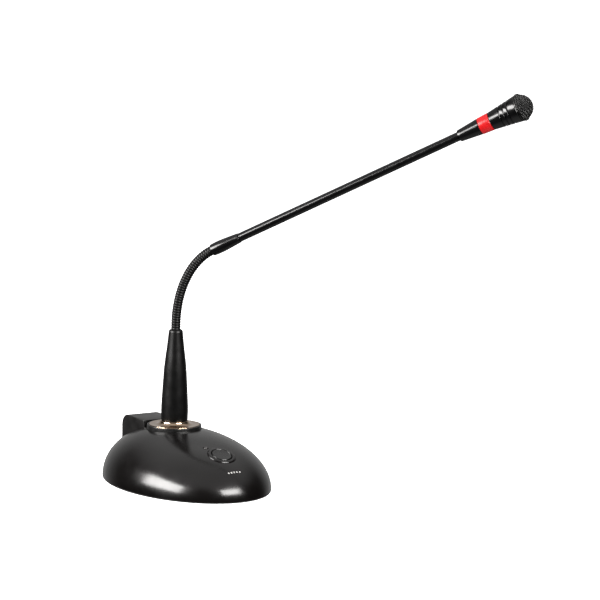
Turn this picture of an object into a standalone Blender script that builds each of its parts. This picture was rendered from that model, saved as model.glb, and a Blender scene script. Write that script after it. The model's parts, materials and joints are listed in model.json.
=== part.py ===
"""Desktop gooseneck microphone: a weighted dome base with a talk button, a bendable neck, a boom and a head.

Metres, +Z up. The origin is on the desk under the stem, and +X is the front of the base.
"""
import math

import bmesh
import bpy
from mathutils import Matrix, Vector

MM = 0.001
GAP = 0.3 * MM

# Dome base: an ellipse on the desk whose centre is ahead of the stem, under a rounded dome.
RIM_CENTRE_X = 20.6 * MM
RIM_HALF_LENGTH = 89.0 * MM
RIM_HALF_WIDTH = 62.4 * MM
DOME_BOTTOM = 1.3 * MM
DOME_RISE = 43.0 * MM
DOME_FULLNESS = 2.23
DOME_WALL = 2.4 * MM
DOME_SIDES = 52
DOME_RINGS = 10
MAT_INSET = 0.3 * MM
MAT_TOP = 1.0 * MM
PLATE_INSET = 3.2 * MM
PLATE_BOTTOM = MAT_TOP + GAP
PLATE_TOP = 2.9 * MM
INSIDE_FLOOR = PLATE_TOP + GAP

# Fasteners that come up through the floor.
FLOOR_SCREW_RADIUS = 1.5 * MM
FLOOR_SCREW_HEAD = 3.0 * MM
FLOOR_SCREW_LENGTH = 8.0 * MM
SHELL_SCREW_SPOTS = ((88.0, 22.0), (88.0, -22.0), (-30.0, 40.0), (-30.0, -40.0))
BALLAST_SCREW_SPOTS = ((53.0, 22.0), (53.0, -22.0))
SHELL_BOSS_RADIUS = 4.0 * MM
HOLE_SLACK = 0.4 * MM

# Steel weight and circuit board on the floor.
BALLAST_FRONT = 80.0 * MM
BALLAST_REAR = 26.0 * MM
BALLAST_HALF_WIDTH = 32.0 * MM
BALLAST_HEIGHT = 10.0 * MM
BOARD_BOTTOM = 15.0 * MM
BOARD_THICKNESS = 1.6 * MM
BOARD_CENTRE_X = 2.0 * MM
BOARD_LENGTH = 36.0 * MM
BOARD_WIDTH = 40.0 * MM
BOARD_SCREW_SPOTS = ((-12.0, -16.0), (16.0, 16.0))

# Housing behind the stem, with the output connector in its rear face.
HOUSING_REAR = -62.5 * MM
HOUSING_FRONT = -25.0 * MM
HOUSING_HALF_WIDTH = 15.0 * MM
HOUSING_TOP = 46.1 * MM
HOUSING_EDGE = 9.3 * MM
HOUSING_WALL = 2.2 * MM
RECESS_FLOOR = 10.0 * MM
RECESS_WALL = 2.4 * MM
CONNECTOR_HEIGHT = 24.0 * MM
CONNECTOR_FLANGE = 26.0 * MM
CONNECTOR_FLANGE_THICKNESS = 1.5 * MM
CONNECTOR_BARREL = 11.0 * MM
CONNECTOR_BORE = 9.3 * MM
CONNECTOR_DEPTH = 18.0 * MM
PIN_CIRCLE = 4.2 * MM
PIN_RADIUS = 1.15 * MM
PIN_RECESS = 4.8 * MM
CONNECTOR_SCREW_SPREAD = 10.2 * MM

# Talk button, its ring and the indicator lamp on the front slope.
BUTTON_X = 76.5 * MM
BUTTON_RADIUS = 8.2 * MM
BEZEL_INNER = 8.7 * MM
BEZEL_OUTER = 11.6 * MM
BEZEL_DEPTH = 2.6 * MM
BUTTON_TRAVEL = 1.2 * MM
SWITCH_SIDE = 12.0 * MM
SWITCH_HEIGHT = 5.0 * MM
SWITCH_TOP = -6.6 * MM
PLUNGER_RADIUS = 1.7 * MM
SWITCH_POST_SPREAD = 16.5 * MM
LAMP_X = 63.0 * MM
LAMP_Y = -7.0 * MM
LAMP_RADIUS = 1.5 * MM

# Collar and stem.
GASKET_RADIUS = 22.8 * MM
GASKET_BOTTOM = 41.0 * MM
GASKET_TOP = 46.0 * MM
FLANGE_RADIUS = 21.1 * MM
FLANGE_BOTTOM = 44.8 * MM
FLANGE_TOP = 46.3 * MM
HUB_TOP = 49.2 * MM
STUD_RADIUS = 6.2 * MM
STUD_BOTTOM = 26.5 * MM
BOSS_BOTTOM = 34.0 * MM
SLEEVE_BOTTOM = HUB_TOP + GAP
SLEEVE_TOP = 125.8 * MM
SLEEVE_BORE = 4.7 * MM
STEM_TUBE_RADIUS = 4.3 * MM
STEM_TUBE_BORE = 3.0 * MM

# Flexible neck: a root and a run of links that share one bend and get shorter toward the boom.
NECK_RADIUS = 4.0 * MM
NECK_BORE = 1.3 * MM
NECK_SPIGOT = 2.6 * MM
NECK_FIRST_JOINT = 11.1 * MM
NECK_PITCH = 14.1 * MM
NECK_SHRINK = 0.855
NECK_JOINTS = 8
NECK_REST_BEND = math.radians(63.2 / NECK_JOINTS)
NECK_FACE_SLOPE = math.tan(math.radians(6.8))
NECK_FACE_GAP = 0.12 * MM
ARM_YAW = math.radians(43.0)

# Boom and head, measured along their own axis from the last neck joint.
COUPLER_START = NECK_PITCH * NECK_SHRINK ** (NECK_JOINTS - 1) / 2
COUPLER_LENGTH = 26.0 * MM
BOOM_START = COUPLER_START + COUPLER_LENGTH + GAP
BOOM_LENGTH = 202.4 * MM
BOOM_RADIUS = 3.72 * MM
BOOM_BORE = 2.9 * MM
HEAD_START = BOOM_START + BOOM_LENGTH + GAP
TAIL_LENGTH = 18.8 * MM
RING_START = HEAD_START + TAIL_LENGTH + GAP
RING_LENGTH = 9.6 * MM
BARREL_START = RING_START + RING_LENGTH + GAP
BARREL_LENGTH = 24.0 * MM
TRIM_START = BARREL_START + BARREL_LENGTH + GAP
TRIM_LENGTH = 0.7 * MM
GRILLE_START = TRIM_START + TRIM_LENGTH + GAP
GRILLE_SKIRT = ((10.9, 0.0), (11.75, 0.6), (11.75, 2.6), (11.0, 3.3))
GRILLE_DOME_CENTRE = GRILLE_START + 0.7 * MM
GRILLE_DOME_RADIUS = 10.7 * MM
GRILLE_DOME_FOOT = 17
BARREL_REAR_RADIUS = 7.5 * MM
BARREL_FRONT_RADIUS = 10.85 * MM
GROOVE_SPOTS = (9.6, 13.5, 17.1)
LEAD_RADIUS = 0.8 * MM


def clear_scene():
    for item in list(bpy.data.objects):
        bpy.data.objects.remove(item, do_unlink=True)


def material(name, colour, roughness, metallic=0.0):
    """A plain Principled material, made once for each name."""
    found = bpy.data.materials.get(name)
    if found:
        return found
    made = bpy.data.materials.new(name)
    made.use_nodes = True
    shader = made.node_tree.nodes["Principled BSDF"]
    shader.inputs["Base Color"].default_value = (*colour, 1.0)
    shader.inputs["Roughness"].default_value = roughness
    shader.inputs["Metallic"].default_value = metallic
    made.diffuse_color = (*colour, 1.0)
    return made


def black_abs():
    return material("black_abs", (0.022, 0.021, 0.021), 0.32)


def black_rubber():
    return material("black_rubber", (0.015, 0.015, 0.015), 0.85)


def black_lacquer():
    return material("black_lacquer", (0.012, 0.012, 0.013), 0.22)


def lacquered_steel():
    return material("black_lacquer_steel", (0.012, 0.012, 0.013), 0.22, 0.3)


def black_steel():
    return material("black_steel", (0.02, 0.02, 0.02), 0.4, 0.8)


def zinc_steel():
    return material("zinc_steel", (0.62, 0.62, 0.6), 0.38, 1.0)


def polished_gold_chrome():
    return material("polished_gold_chrome", (0.86, 0.72, 0.6), 0.12, 1.0)


def circuit_board():
    return material("circuit_board", (0.02, 0.12, 0.06), 0.5)


def finish(name, mesh_maker, coat, frame=Matrix.Identity(4), parent=None):
    """Turn a bmesh into a named object placed by a world matrix."""
    bmesh.ops.recalc_face_normals(mesh_maker, faces=mesh_maker.faces)
    mesh = bpy.data.meshes.new(name)
    mesh_maker.to_mesh(mesh)
    mesh_maker.free()
    made = bpy.data.objects.new(name, mesh)
    bpy.context.collection.objects.link(made)
    if coat:
        made.data.materials.append(coat)
    if parent:
        made.parent = parent
        made.matrix_parent_inverse = parent.matrix_world.inverted()
    made.matrix_world = frame
    bpy.context.view_layer.update()
    return made


def turned(name, outline, coat, sides=28, frame=Matrix.Identity(4), parent=None):
    """Spin an outline of (radius, height) points about local Z. It may start and end on the axis."""
    maker = bmesh.new()
    points = [maker.verts.new((radius, 0.0, height)) for radius, height in outline]
    edges = [maker.edges.new(pair) for pair in zip(points, points[1:])]
    on_axis = outline[0][0] == 0.0 and outline[-1][0] == 0.0
    if not on_axis:
        edges.append(maker.edges.new((points[-1], points[0])))
    bmesh.ops.spin(maker, geom=points + edges, cent=(0, 0, 0), axis=(0, 0, 1),
                   angle=math.tau, steps=sides, use_merge=True)
    bmesh.ops.remove_doubles(maker, verts=maker.verts, dist=1e-6)
    return finish(name, maker, coat, frame, parent)


def extruded(name, outline, bottom, top, coat, frame=Matrix.Identity(4), parent=None):
    """Extrude a flat (x, y) outline along local Z."""
    maker = bmesh.new()
    face = maker.faces.new([maker.verts.new((x, y, bottom)) for x, y in outline])
    grown = bmesh.ops.extrude_face_region(maker, geom=[face])
    lifted = [item for item in grown["geom"] if isinstance(item, bmesh.types.BMVert)]
    bmesh.ops.translate(maker, vec=(0, 0, top - bottom), verts=lifted)
    return finish(name, maker, coat, frame, parent)


def rod(name, radius, bottom, top, coat=None, sides=16, frame=Matrix.Identity(4), parent=None):
    outline = [(0.0, bottom), (radius, bottom), (radius, top), (0.0, top)]
    return turned(name, outline, coat, sides, frame, parent)


def pipe(name, bore, radius, bottom, top, coat, sides=24, frame=Matrix.Identity(4), parent=None):
    outline = [(bore, bottom), (radius, bottom), (radius, top), (bore, top)]
    return turned(name, outline, coat, sides, frame, parent)


def block(name, low, high, coat=None, frame=Matrix.Identity(4), parent=None):
    outline = [(low[0], low[1]), (high[0], low[1]), (high[0], high[1]), (low[0], high[1])]
    return extruded(name, outline, low[2], high[2], coat, frame, parent)


def shape_with(target, tool, operation="DIFFERENCE"):
    """Cut a tool out of a target, or weld it on, with a Boolean that stays live."""
    change = target.modifiers.new(tool.name, "BOOLEAN")
    change.operation = operation
    change.object = tool
    change.solver = "EXACT"
    hide_tool(tool)


def hide_tool(tool):
    tool.hide_render = True
    tool.display_type = "WIRE"


def weld_inside(target, tool, limit):
    """Weld on only the stretch of a tool that lies inside a limiting solid."""
    shape_with(tool, limit, "INTERSECT")
    shape_with(target, tool, "UNION")


def arc(centre, radius, start, end, steps):
    """Points on an arc, both ends included. Angles are in degrees."""
    points = []
    for step in range(steps + 1):
        angle = math.radians(start + (end - start) * step / steps)
        points.append((centre[0] + radius * math.cos(angle), centre[1] + radius * math.sin(angle)))
    return points


def rim_outline(inset, sides=DOME_SIDES):
    points = []
    for step in range(sides):
        angle = math.tau * step / sides
        x = RIM_CENTRE_X + (RIM_HALF_LENGTH - inset) * math.cos(angle)
        points.append((x, (RIM_HALF_WIDTH - inset) * math.sin(angle)))
    return points


def dome_height(x, y, inset=0.0):
    """Height of the dome, or of a copy of it set in by an inset, above a point of the floor."""
    long_side = RIM_HALF_LENGTH - inset
    wide_side = RIM_HALF_WIDTH - inset
    square = 1 - (RIM_CENTRE_X / long_side) ** 2
    middle = x * RIM_CENTRE_X / long_side ** 2
    rest = (x / long_side) ** 2 + (y / wide_side) ** 2
    share = (-middle + math.sqrt(middle ** 2 + square * rest)) / square
    if share >= 1.0:
        return DOME_BOTTOM
    return DOME_BOTTOM + (DOME_RISE - inset) * math.sqrt(1 - share ** DOME_FULLNESS)


def surface_frame(x, y):
    """A frame on the dome at (x, y): local Z points out of the surface and local Y across the base."""
    step = 0.1 * MM
    slope_x = (dome_height(x + step, y) - dome_height(x - step, y)) / (2 * step)
    slope_y = (dome_height(x, y + step) - dome_height(x, y - step)) / (2 * step)
    out = Vector((-slope_x, -slope_y, 1.0)).normalized()
    along = Vector((1.0, 0.0, slope_x)).normalized()
    across = out.cross(along)
    frame = Matrix((along, across, out)).transposed().to_4x4()
    frame.translation = Vector((x, y, dome_height(x, y)))
    return frame


def dome_rings(maker, inset, bottom, rings):
    """Rings of vertices from the rim up to the crown of a dome set in by an inset."""
    loops = []
    for ring in range(rings):
        turn = math.pi / 2 * ring / rings
        share = math.cos(turn) ** (2 / DOME_FULLNESS)
        height = bottom if ring == 0 else DOME_BOTTOM + (DOME_RISE - inset) * math.sin(turn)
        loops.append([maker.verts.new((x * share, y * share, height)) for x, y in rim_outline(inset)])
    crown = maker.verts.new((0.0, 0.0, DOME_BOTTOM + DOME_RISE - inset))
    for lower, upper in zip(loops, loops[1:]):
        for side in range(DOME_SIDES):
            after = (side + 1) % DOME_SIDES
            maker.faces.new((lower[side], lower[after], upper[after], upper[side]))
    for side in range(DOME_SIDES):
        maker.faces.new((loops[-1][side], loops[-1][(side + 1) % DOME_SIDES], crown))
    return loops[0]


def dome_solid(name, inset, coat=None):
    maker = bmesh.new()
    rim = dome_rings(maker, inset, DOME_BOTTOM, DOME_RINGS)
    maker.faces.new(rim)
    return finish(name, maker, coat)


def dome_shell():
    """The moulded cover: an open dome with bosses inside, holes for what it carries and a rear recess."""
    maker = bmesh.new()
    outer = dome_rings(maker, 0.0, DOME_BOTTOM, DOME_RINGS)
    inner = dome_rings(maker, DOME_WALL, DOME_BOTTOM, DOME_RINGS - 3)
    for side in range(DOME_SIDES):
        after = (side + 1) % DOME_SIDES
        maker.faces.new((outer[side], inner[side], inner[after], outer[after]))
    shell = finish("dome_shell", maker, black_abs())
    core = dome_solid("guide_wall_middle", DOME_WALL / 2)
    hide_tool(core)
    button = button_frame()
    crown_boss = rod("weld_crown_boss", GASKET_RADIUS + 3.2 * MM, BOSS_BOTTOM, DOME_RISE, sides=40)
    weld_inside(shell, crown_boss, core)
    for number, (x, y) in enumerate(SHELL_SCREW_SPOTS, 1):
        spot = Matrix.Translation((x * MM, y * MM, 0.0))
        boss = rod(f"weld_screw_boss_{number}", SHELL_BOSS_RADIUS, INSIDE_FLOOR, DOME_RISE, sides=14, frame=spot)
        weld_inside(shell, boss, core)
    recess_side = HOUSING_HALF_WIDTH + GAP + RECESS_WALL
    recess = block("weld_recess", (-0.1, -recess_side, RECESS_FLOOR - RECESS_WALL),
                   (HOUSING_REAR - GAP, recess_side, 0.1))
    weld_inside(shell, recess, core)
    for number, side in enumerate((1, -1), 1):
        spot = button @ Matrix.Translation((0.0, side * SWITCH_POST_SPREAD, 0.0))
        bottom = SWITCH_TOP - SWITCH_HEIGHT - GAP
        post = rod(f"weld_switch_post_{number}", 2.6 * MM, bottom, 5.0 * MM, sides=12, frame=spot)
        weld_inside(shell, post, core)
        hole = rod(f"cut_switch_post_{number}", 1.1 * MM, bottom - MM, bottom + 4.5 * MM, sides=10, frame=spot)
        shape_with(shell, hole)
    pocket = rod("cut_gasket_pocket", GASKET_RADIUS + HOLE_SLACK, GASKET_BOTTOM - GAP, 60.0 * MM, sides=40)
    shape_with(shell, pocket)
    shape_with(shell, rod("cut_stud_hole", STUD_RADIUS + HOLE_SLACK, 20.0 * MM, 60.0 * MM, sides=24))
    for number, (x, y) in enumerate(SHELL_SCREW_SPOTS, 1):
        spot = Matrix.Translation((x * MM, y * MM, 0.0))
        hole = rod(f"cut_screw_boss_{number}", FLOOR_SCREW_RADIUS + HOLE_SLACK, 0.0,
                   FLOOR_SCREW_LENGTH + 2.0 * MM, sides=12, frame=spot)
        shape_with(shell, hole)
    shape_with(shell, rod("cut_bezel_hole", BEZEL_OUTER + GAP, -8.0 * MM, 12.0 * MM, sides=36, frame=button))
    shape_with(shell, rod("cut_lamp_hole", LAMP_RADIUS + 0.2 * MM, -8.0 * MM, 5.0 * MM, frame=lamp_frame()))
    side = HOUSING_HALF_WIDTH + GAP
    slot = block("cut_housing_slot", (HOUSING_REAR - 2 * GAP, -side, -0.01), (HOUSING_FRONT + GAP, side, 0.1))
    shape_with(shell, slot)
    recess_cut = block("cut_recess", (-0.12, -side, RECESS_FLOOR), (HOUSING_REAR - GAP, side, 0.1))
    shape_with(shell, recess_cut)
    return shell


def base_floor():
    """Rubber mat, steel plate and the screws that hold the plate to the cover and the weight."""
    mat = extruded("base_mat", rim_outline(MAT_INSET), 0.0, MAT_TOP, black_rubber())
    plate = extruded("base_plate", rim_outline(PLATE_INSET), PLATE_BOTTOM, PLATE_TOP, zinc_steel())
    spots = [("base_screw", number, spot) for number, spot in enumerate(SHELL_SCREW_SPOTS, 1)]
    spots += [("ballast_screw", number, spot) for number, spot in enumerate(BALLAST_SCREW_SPOTS, 1)]
    for kind, number, (x, y) in spots:
        spot = Matrix.Translation((x * MM, y * MM, 0.0))
        floor_screw(f"{kind}_{number}", spot)
        shape_with(mat, rod(f"cut_mat_{kind}_{number}", FLOOR_SCREW_HEAD + MM, -MM, 3.0 * MM, frame=spot))
        shape_with(plate, rod(f"cut_plate_{kind}_{number}", FLOOR_SCREW_RADIUS + HOLE_SLACK, MM, 6.0 * MM,
                              sides=12, frame=spot))


def floor_screw(name, spot):
    head_bottom = 0.2 * MM
    head_top = MAT_TOP
    outline = [(0.0, head_bottom), (FLOOR_SCREW_HEAD - 0.4 * MM, head_bottom),
               (FLOOR_SCREW_HEAD, head_bottom + 0.4 * MM), (FLOOR_SCREW_HEAD, head_top),
               (FLOOR_SCREW_RADIUS, head_top), (FLOOR_SCREW_RADIUS, FLOOR_SCREW_LENGTH),
               (0.0, FLOOR_SCREW_LENGTH)]
    turned(name, outline, zinc_steel(), 14, spot)


def ballast():
    corner = 6.0 * MM
    front = BALLAST_FRONT - corner
    rear = BALLAST_REAR + corner
    side = BALLAST_HALF_WIDTH - corner
    outline = arc((front, side), corner, 0, 90, 4) + arc((rear, side), corner, 90, 180, 4)
    outline += arc((rear, -side), corner, 180, 270, 4) + arc((front, -side), corner, 270, 360, 4)
    weight = extruded("ballast_weight", outline, INSIDE_FLOOR, INSIDE_FLOOR + BALLAST_HEIGHT,
                      material("cast_iron", (0.08, 0.08, 0.085), 0.7, 0.9))
    for number, (x, y) in enumerate(BALLAST_SCREW_SPOTS, 1):
        spot = Matrix.Translation((x * MM, y * MM, 0.0))
        shape_with(weight, rod(f"cut_ballast_{number}", FLOOR_SCREW_RADIUS + HOLE_SLACK, 0.0,
                               FLOOR_SCREW_LENGTH + 2.0 * MM, sides=12, frame=spot))


def preamp_board():
    """The circuit board under the stem, on two spacers."""
    low = (BOARD_CENTRE_X - BOARD_LENGTH / 2, -BOARD_WIDTH / 2, BOARD_BOTTOM)
    high = (BOARD_CENTRE_X + BOARD_LENGTH / 2, BOARD_WIDTH / 2, BOARD_BOTTOM + BOARD_THICKNESS)
    board = block("preamp_board", low, high, circuit_board())
    brass = material("brass", (0.7, 0.55, 0.25), 0.35, 1.0)
    for number, (x, y) in enumerate(BOARD_SCREW_SPOTS, 1):
        spot = Matrix.Translation((x * MM, y * MM, 0.0))
        pipe(f"board_spacer_{number}", 1.6 * MM, 3.0 * MM, INSIDE_FLOOR, BOARD_BOTTOM - GAP, brass, 14, spot)
        shape_with(board, rod(f"cut_board_{number}", 1.6 * MM, 0.01, 0.02, sides=12, frame=spot))
        top = BOARD_BOTTOM + BOARD_THICKNESS + GAP
        outline = [(0.0, top - 8.0 * MM), (1.2 * MM, top - 8.0 * MM), (1.2 * MM, top),
                   (2.5 * MM, top), (2.2 * MM, top + 1.6 * MM), (0.0, top + 1.6 * MM)]
        turned(f"board_screw_{number}", outline, zinc_steel(), 12, spot)


def rear_housing():
    """The box behind the stem: open below, rounded along its upper rear edge, bored for the connector."""
    upright = Matrix(((1, 0, 0, 0), (0, 0, -1, 0), (0, 1, 0, 0), (0, 0, 0, 1)))
    edge = (HOUSING_REAR + HOUSING_EDGE, HOUSING_TOP - HOUSING_EDGE)
    outline = [(HOUSING_FRONT, INSIDE_FLOOR), (HOUSING_FRONT, HOUSING_TOP)]
    outline += arc(edge, HOUSING_EDGE, 90, 180, 6) + [(HOUSING_REAR, INSIDE_FLOOR)]
    housing = extruded("rear_housing", outline, -HOUSING_HALF_WIDTH, HOUSING_HALF_WIDTH, black_abs(), upright)
    inside = HOUSING_FRONT - HOUSING_WALL
    hollow = [(inside, 0.0), (inside, HOUSING_TOP - HOUSING_WALL)]
    hollow += arc(edge, HOUSING_EDGE - HOUSING_WALL, 90, 180, 6) + [(HOUSING_REAR + HOUSING_WALL, 0.0)]
    width = HOUSING_HALF_WIDTH - HOUSING_WALL
    shape_with(housing, extruded("cut_housing_hollow", hollow, -width, width, None, upright))
    bore = rod("cut_connector_hole", CONNECTOR_BARREL + HOLE_SLACK, -5.0 * MM, 5.0 * MM, sides=32,
               frame=connector_frame())
    shape_with(housing, bore)
    for number, spot in enumerate(connector_screw_frames(), 1):
        shape_with(housing, rod(f"cut_connector_screw_{number}", 1.3 * MM, -5.0 * MM, 5.0 * MM, sides=10,
                                frame=spot))


def connector_frame():
    """The connector's own frame: local Z points out of the housing's rear face."""
    frame = Matrix(((0, 0, -1, 0), (1, 0, 0, 0), (0, -1, 0, 0), (0, 0, 0, 1)))
    frame.translation = Vector((HOUSING_REAR, 0.0, CONNECTOR_HEIGHT))
    return frame


def connector_screw_frames():
    corners = ((CONNECTOR_SCREW_SPREAD, -CONNECTOR_SCREW_SPREAD),
               (-CONNECTOR_SCREW_SPREAD, CONNECTOR_SCREW_SPREAD))
    return [connector_frame() @ Matrix.Translation((x, y, 0.0)) for x, y in corners]


def output_connector():
    """A three-pin output connector: flanged shell, insulating insert, pins and two screws."""
    frame = connector_frame()
    half = CONNECTOR_FLANGE / 2
    corner = 2.5 * MM
    reach = half - corner
    outline = []
    for quarter, (x, y) in enumerate(((1, 1), (-1, 1), (-1, -1), (1, -1))):
        outline += arc((x * reach, y * reach), corner, quarter * 90, quarter * 90 + 90, 3)
    face = GAP + CONNECTOR_FLANGE_THICKNESS
    shell = extruded("connector_shell", outline, GAP, face, zinc_steel(), frame)
    shape_with(shell, rod("weld_connector_barrel", CONNECTOR_BARREL, -CONNECTOR_DEPTH, face - 0.5 * MM,
                          sides=32, frame=frame), "UNION")
    shape_with(shell, rod("cut_connector_bore", CONNECTOR_BORE, -CONNECTOR_DEPTH - MM, 5.0 * MM, sides=32,
                          frame=frame))
    insert_top = -11.0 * MM
    insert = rod("connector_insert", CONNECTOR_BORE - 0.2 * MM, -CONNECTOR_DEPTH + MM, insert_top,
                 material("dark_nylon", (0.03, 0.03, 0.03), 0.6), 28, frame)
    silver = material("silver_plate", (0.8, 0.79, 0.76), 0.25, 1.0)
    for number in range(1, 4):
        angle = math.radians(90 + 120 * number)
        spot = frame @ Matrix.Translation((PIN_CIRCLE * math.cos(angle), PIN_CIRCLE * math.sin(angle), 0.0))
        shape_with(insert, rod(f"cut_pin_{number}", PIN_RADIUS + 0.2 * MM, -0.03, 0.01, sides=12, frame=spot))
        top = face - PIN_RECESS
        outline = [(0.0, -CONNECTOR_DEPTH - 3.0 * MM), (PIN_RADIUS, -CONNECTOR_DEPTH - 3.0 * MM),
                   (PIN_RADIUS, top - 0.8 * MM), (0.4 * MM, top), (0.0, top)]
        turned(f"connector_pin_{number}", outline, silver, 12, spot)
    for number, spot in enumerate(connector_screw_frames(), 1):
        seat = face - 0.9 * MM
        shape_with(shell, rod(f"cut_flange_{number}", 1.4 * MM, -MM, 5.0 * MM, sides=12, frame=spot))
        shape_with(shell, rod(f"cut_flange_seat_{number}", 2.5 * MM, seat, 5.0 * MM, sides=16, frame=spot))
        outline = [(0.0, -5.0 * MM), (MM, -5.0 * MM), (MM, seat + 0.2 * MM), (2.1 * MM, seat + 0.2 * MM),
                   (2.1 * MM, face - 0.2 * MM), (0.0, face - 0.2 * MM)]
        turned(f"connector_screw_{number}", outline, black_steel(), 12, spot)


def button_frame():
    return surface_frame(BUTTON_X, 0.0)


def lamp_frame():
    return surface_frame(LAMP_X, LAMP_Y)


def talk_button():
    """The push button, the ring round it, its switch on a small board, and the indicator lamp."""
    frame = button_frame()
    ring = [(BEZEL_INNER, -BEZEL_DEPTH), (BEZEL_OUTER, -BEZEL_DEPTH), (BEZEL_OUTER, -0.2 * MM),
            (BEZEL_OUTER - 0.8 * MM, 0.5 * MM), (BEZEL_INNER + 0.5 * MM, 0.7 * MM), (BEZEL_INNER, 0.2 * MM)]
    turned("button_bezel", ring, black_abs(), 36, frame)
    flange = BEZEL_DEPTH + GAP
    cap = [(0.0, -5.2 * MM), (2.5 * MM, -5.2 * MM), (2.5 * MM, -flange - 0.9 * MM),
           (BEZEL_INNER + 1.0 * MM, -flange - 0.9 * MM), (BEZEL_INNER + 1.0 * MM, -flange),
           (BUTTON_RADIUS, -flange), (BUTTON_RADIUS, 0.3 * MM), (BUTTON_RADIUS - 0.6 * MM, 0.8 * MM),
           (BUTTON_RADIUS / 2, 0.7 * MM), (0.0, 0.6 * MM)]
    button = turned("talk_button", cap, material("button_black", (0.03, 0.03, 0.03), 0.28), 32, frame)
    plunger_low = SWITCH_TOP - 0.8 * MM
    rod("switch_plunger", PLUNGER_RADIUS, plunger_low, -5.2 * MM - GAP,
        material("switch_grey", (0.55, 0.55, 0.53), 0.5), 12, frame, button)
    half = SWITCH_SIDE / 2
    bottom = SWITCH_TOP - SWITCH_HEIGHT
    body = block("switch_body", (-half, -half, bottom), (half, half, SWITCH_TOP),
                 material("switch_black", (0.04, 0.04, 0.045), 0.55), frame)
    shape_with(body, rod("cut_switch_well", PLUNGER_RADIUS + GAP, plunger_low - BUTTON_TRAVEL - GAP,
                         SWITCH_TOP + MM, sides=16, frame=frame))
    board_top = bottom - GAP
    board_low = board_top - BOARD_THICKNESS
    reach = SWITCH_POST_SPREAD + 3.5 * MM
    board = block("switch_board", (-8.0 * MM, -reach, board_low - GAP), (8.0 * MM, reach, board_top - GAP),
                  circuit_board(), frame)
    for number, side in enumerate((1, -1), 1):
        spot = frame @ Matrix.Translation((0.0, side * SWITCH_POST_SPREAD, 0.0))
        shape_with(board, rod(f"cut_switch_board_{number}", 1.3 * MM, -0.03, 0.0, sides=10, frame=spot))
        head = board_low - 2 * GAP
        outline = [(0.0, head - 1.3 * MM), (1.7 * MM, head - 1.3 * MM), (1.9 * MM, head), (0.8 * MM, head),
                   (0.8 * MM, head + 5.0 * MM), (0.0, head + 5.0 * MM)]
        turned(f"switch_board_screw_{number}", outline, zinc_steel(), 10, spot)
    lens = [(0.0, -7.0 * MM), (LAMP_RADIUS, -7.0 * MM), (LAMP_RADIUS, 0.0), (LAMP_RADIUS * 0.7, 0.7 * MM),
            (0.0, MM)]
    turned("status_lamp", lens, material("smoked_lens", (0.25, 0.23, 0.22), 0.2), 14, lamp_frame())


def collar():
    """The black seat ring, the polished flange with its threaded stud, and the washer and nut below."""
    seat = FLANGE_RADIUS + GAP
    gasket = [(STUD_RADIUS + HOLE_SLACK, GASKET_BOTTOM), (GASKET_RADIUS, GASKET_BOTTOM),
              (GASKET_RADIUS, GASKET_TOP - 0.6 * MM), (GASKET_RADIUS - 0.5 * MM, GASKET_TOP),
              (seat, GASKET_TOP), (seat, FLANGE_BOTTOM - GAP), (STUD_RADIUS + HOLE_SLACK, FLANGE_BOTTOM - GAP)]
    turned("collar_gasket", gasket, black_rubber(), 44)
    bore = STEM_TUBE_RADIUS + GAP
    hub = [(13.8 * MM, FLANGE_TOP + 0.1 * MM), (12.5 * MM, FLANGE_TOP + 1.0 * MM),
           (11.8 * MM, FLANGE_TOP + 2.0 * MM), (11.6 * MM, HUB_TOP)]
    flange = [(bore, STUD_BOTTOM), (STUD_RADIUS, STUD_BOTTOM), (STUD_RADIUS, FLANGE_BOTTOM),
              (FLANGE_RADIUS, FLANGE_BOTTOM), (FLANGE_RADIUS, FLANGE_TOP - 0.4 * MM),
              (FLANGE_RADIUS - 0.5 * MM, FLANGE_TOP)] + hub + [(bore, HUB_TOP)]
    turned("collar_flange", flange, polished_gold_chrome(), 44)
    washer_top = BOSS_BOTTOM - GAP
    pipe("lock_washer", STUD_RADIUS + GAP, 11.0 * MM, washer_top - 1.2 * MM, washer_top, zinc_steel(), 24)
    nut_top = washer_top - 1.2 * MM - GAP
    hexagon = arc((0.0, 0.0), 10.5 * MM, 0, 300, 5)
    nut = extruded("collar_nut", hexagon, nut_top - 4.5 * MM, nut_top, zinc_steel())
    shape_with(nut, rod("cut_nut", STUD_RADIUS + GAP, 0.0, 0.05, sides=24))


def stem():
    """The tapering sleeve round the stem and the steel tube inside it."""
    height = SLEEVE_TOP - SLEEVE_BOTTOM
    taper = [(11.2, 0.0), (11.35, 0.1), (11.1, 0.21), (10.6, 0.33), (10.0, 0.46), (9.3, 0.59),
             (8.45, 0.69), (7.5, 0.787), (6.7, 0.88), (5.95, 0.975)]
    outline = [(radius * MM, SLEEVE_BOTTOM + share * height) for radius, share in taper]
    outline += [(4.9 * MM, SLEEVE_TOP), (SLEEVE_BORE, SLEEVE_TOP), (SLEEVE_BORE, SLEEVE_BOTTOM)]
    turned("stem_sleeve", outline, black_lacquer(), 36)
    pipe("stem_tube", STEM_TUBE_BORE, STEM_TUBE_RADIUS, STUD_BOTTOM + 2.0 * MM, SLEEVE_TOP - 2.0 * MM,
         zinc_steel(), 20)


def link_length(joint):
    """Length of the link that a neck joint carries, counting joints from 0."""
    return NECK_PITCH * NECK_SHRINK ** joint


def arm_frames():
    """World frames of the neck joints, first to last. Local Z runs up the link that the joint carries,
    and local Y is the joint's axis."""
    frame = Matrix.Rotation(ARM_YAW, 4, "Z")
    frame.translation = Vector((0.0, 0.0, SLEEVE_TOP + NECK_FIRST_JOINT))
    frames = []
    for joint in range(NECK_JOINTS):
        if joint:
            frame = frame @ Matrix.Translation((0.0, 0.0, link_length(joint - 1)))
        frame = frame @ Matrix.Rotation(NECK_REST_BEND, 4, "Y")
        frames.append(frame.copy())
    return frames


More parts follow.
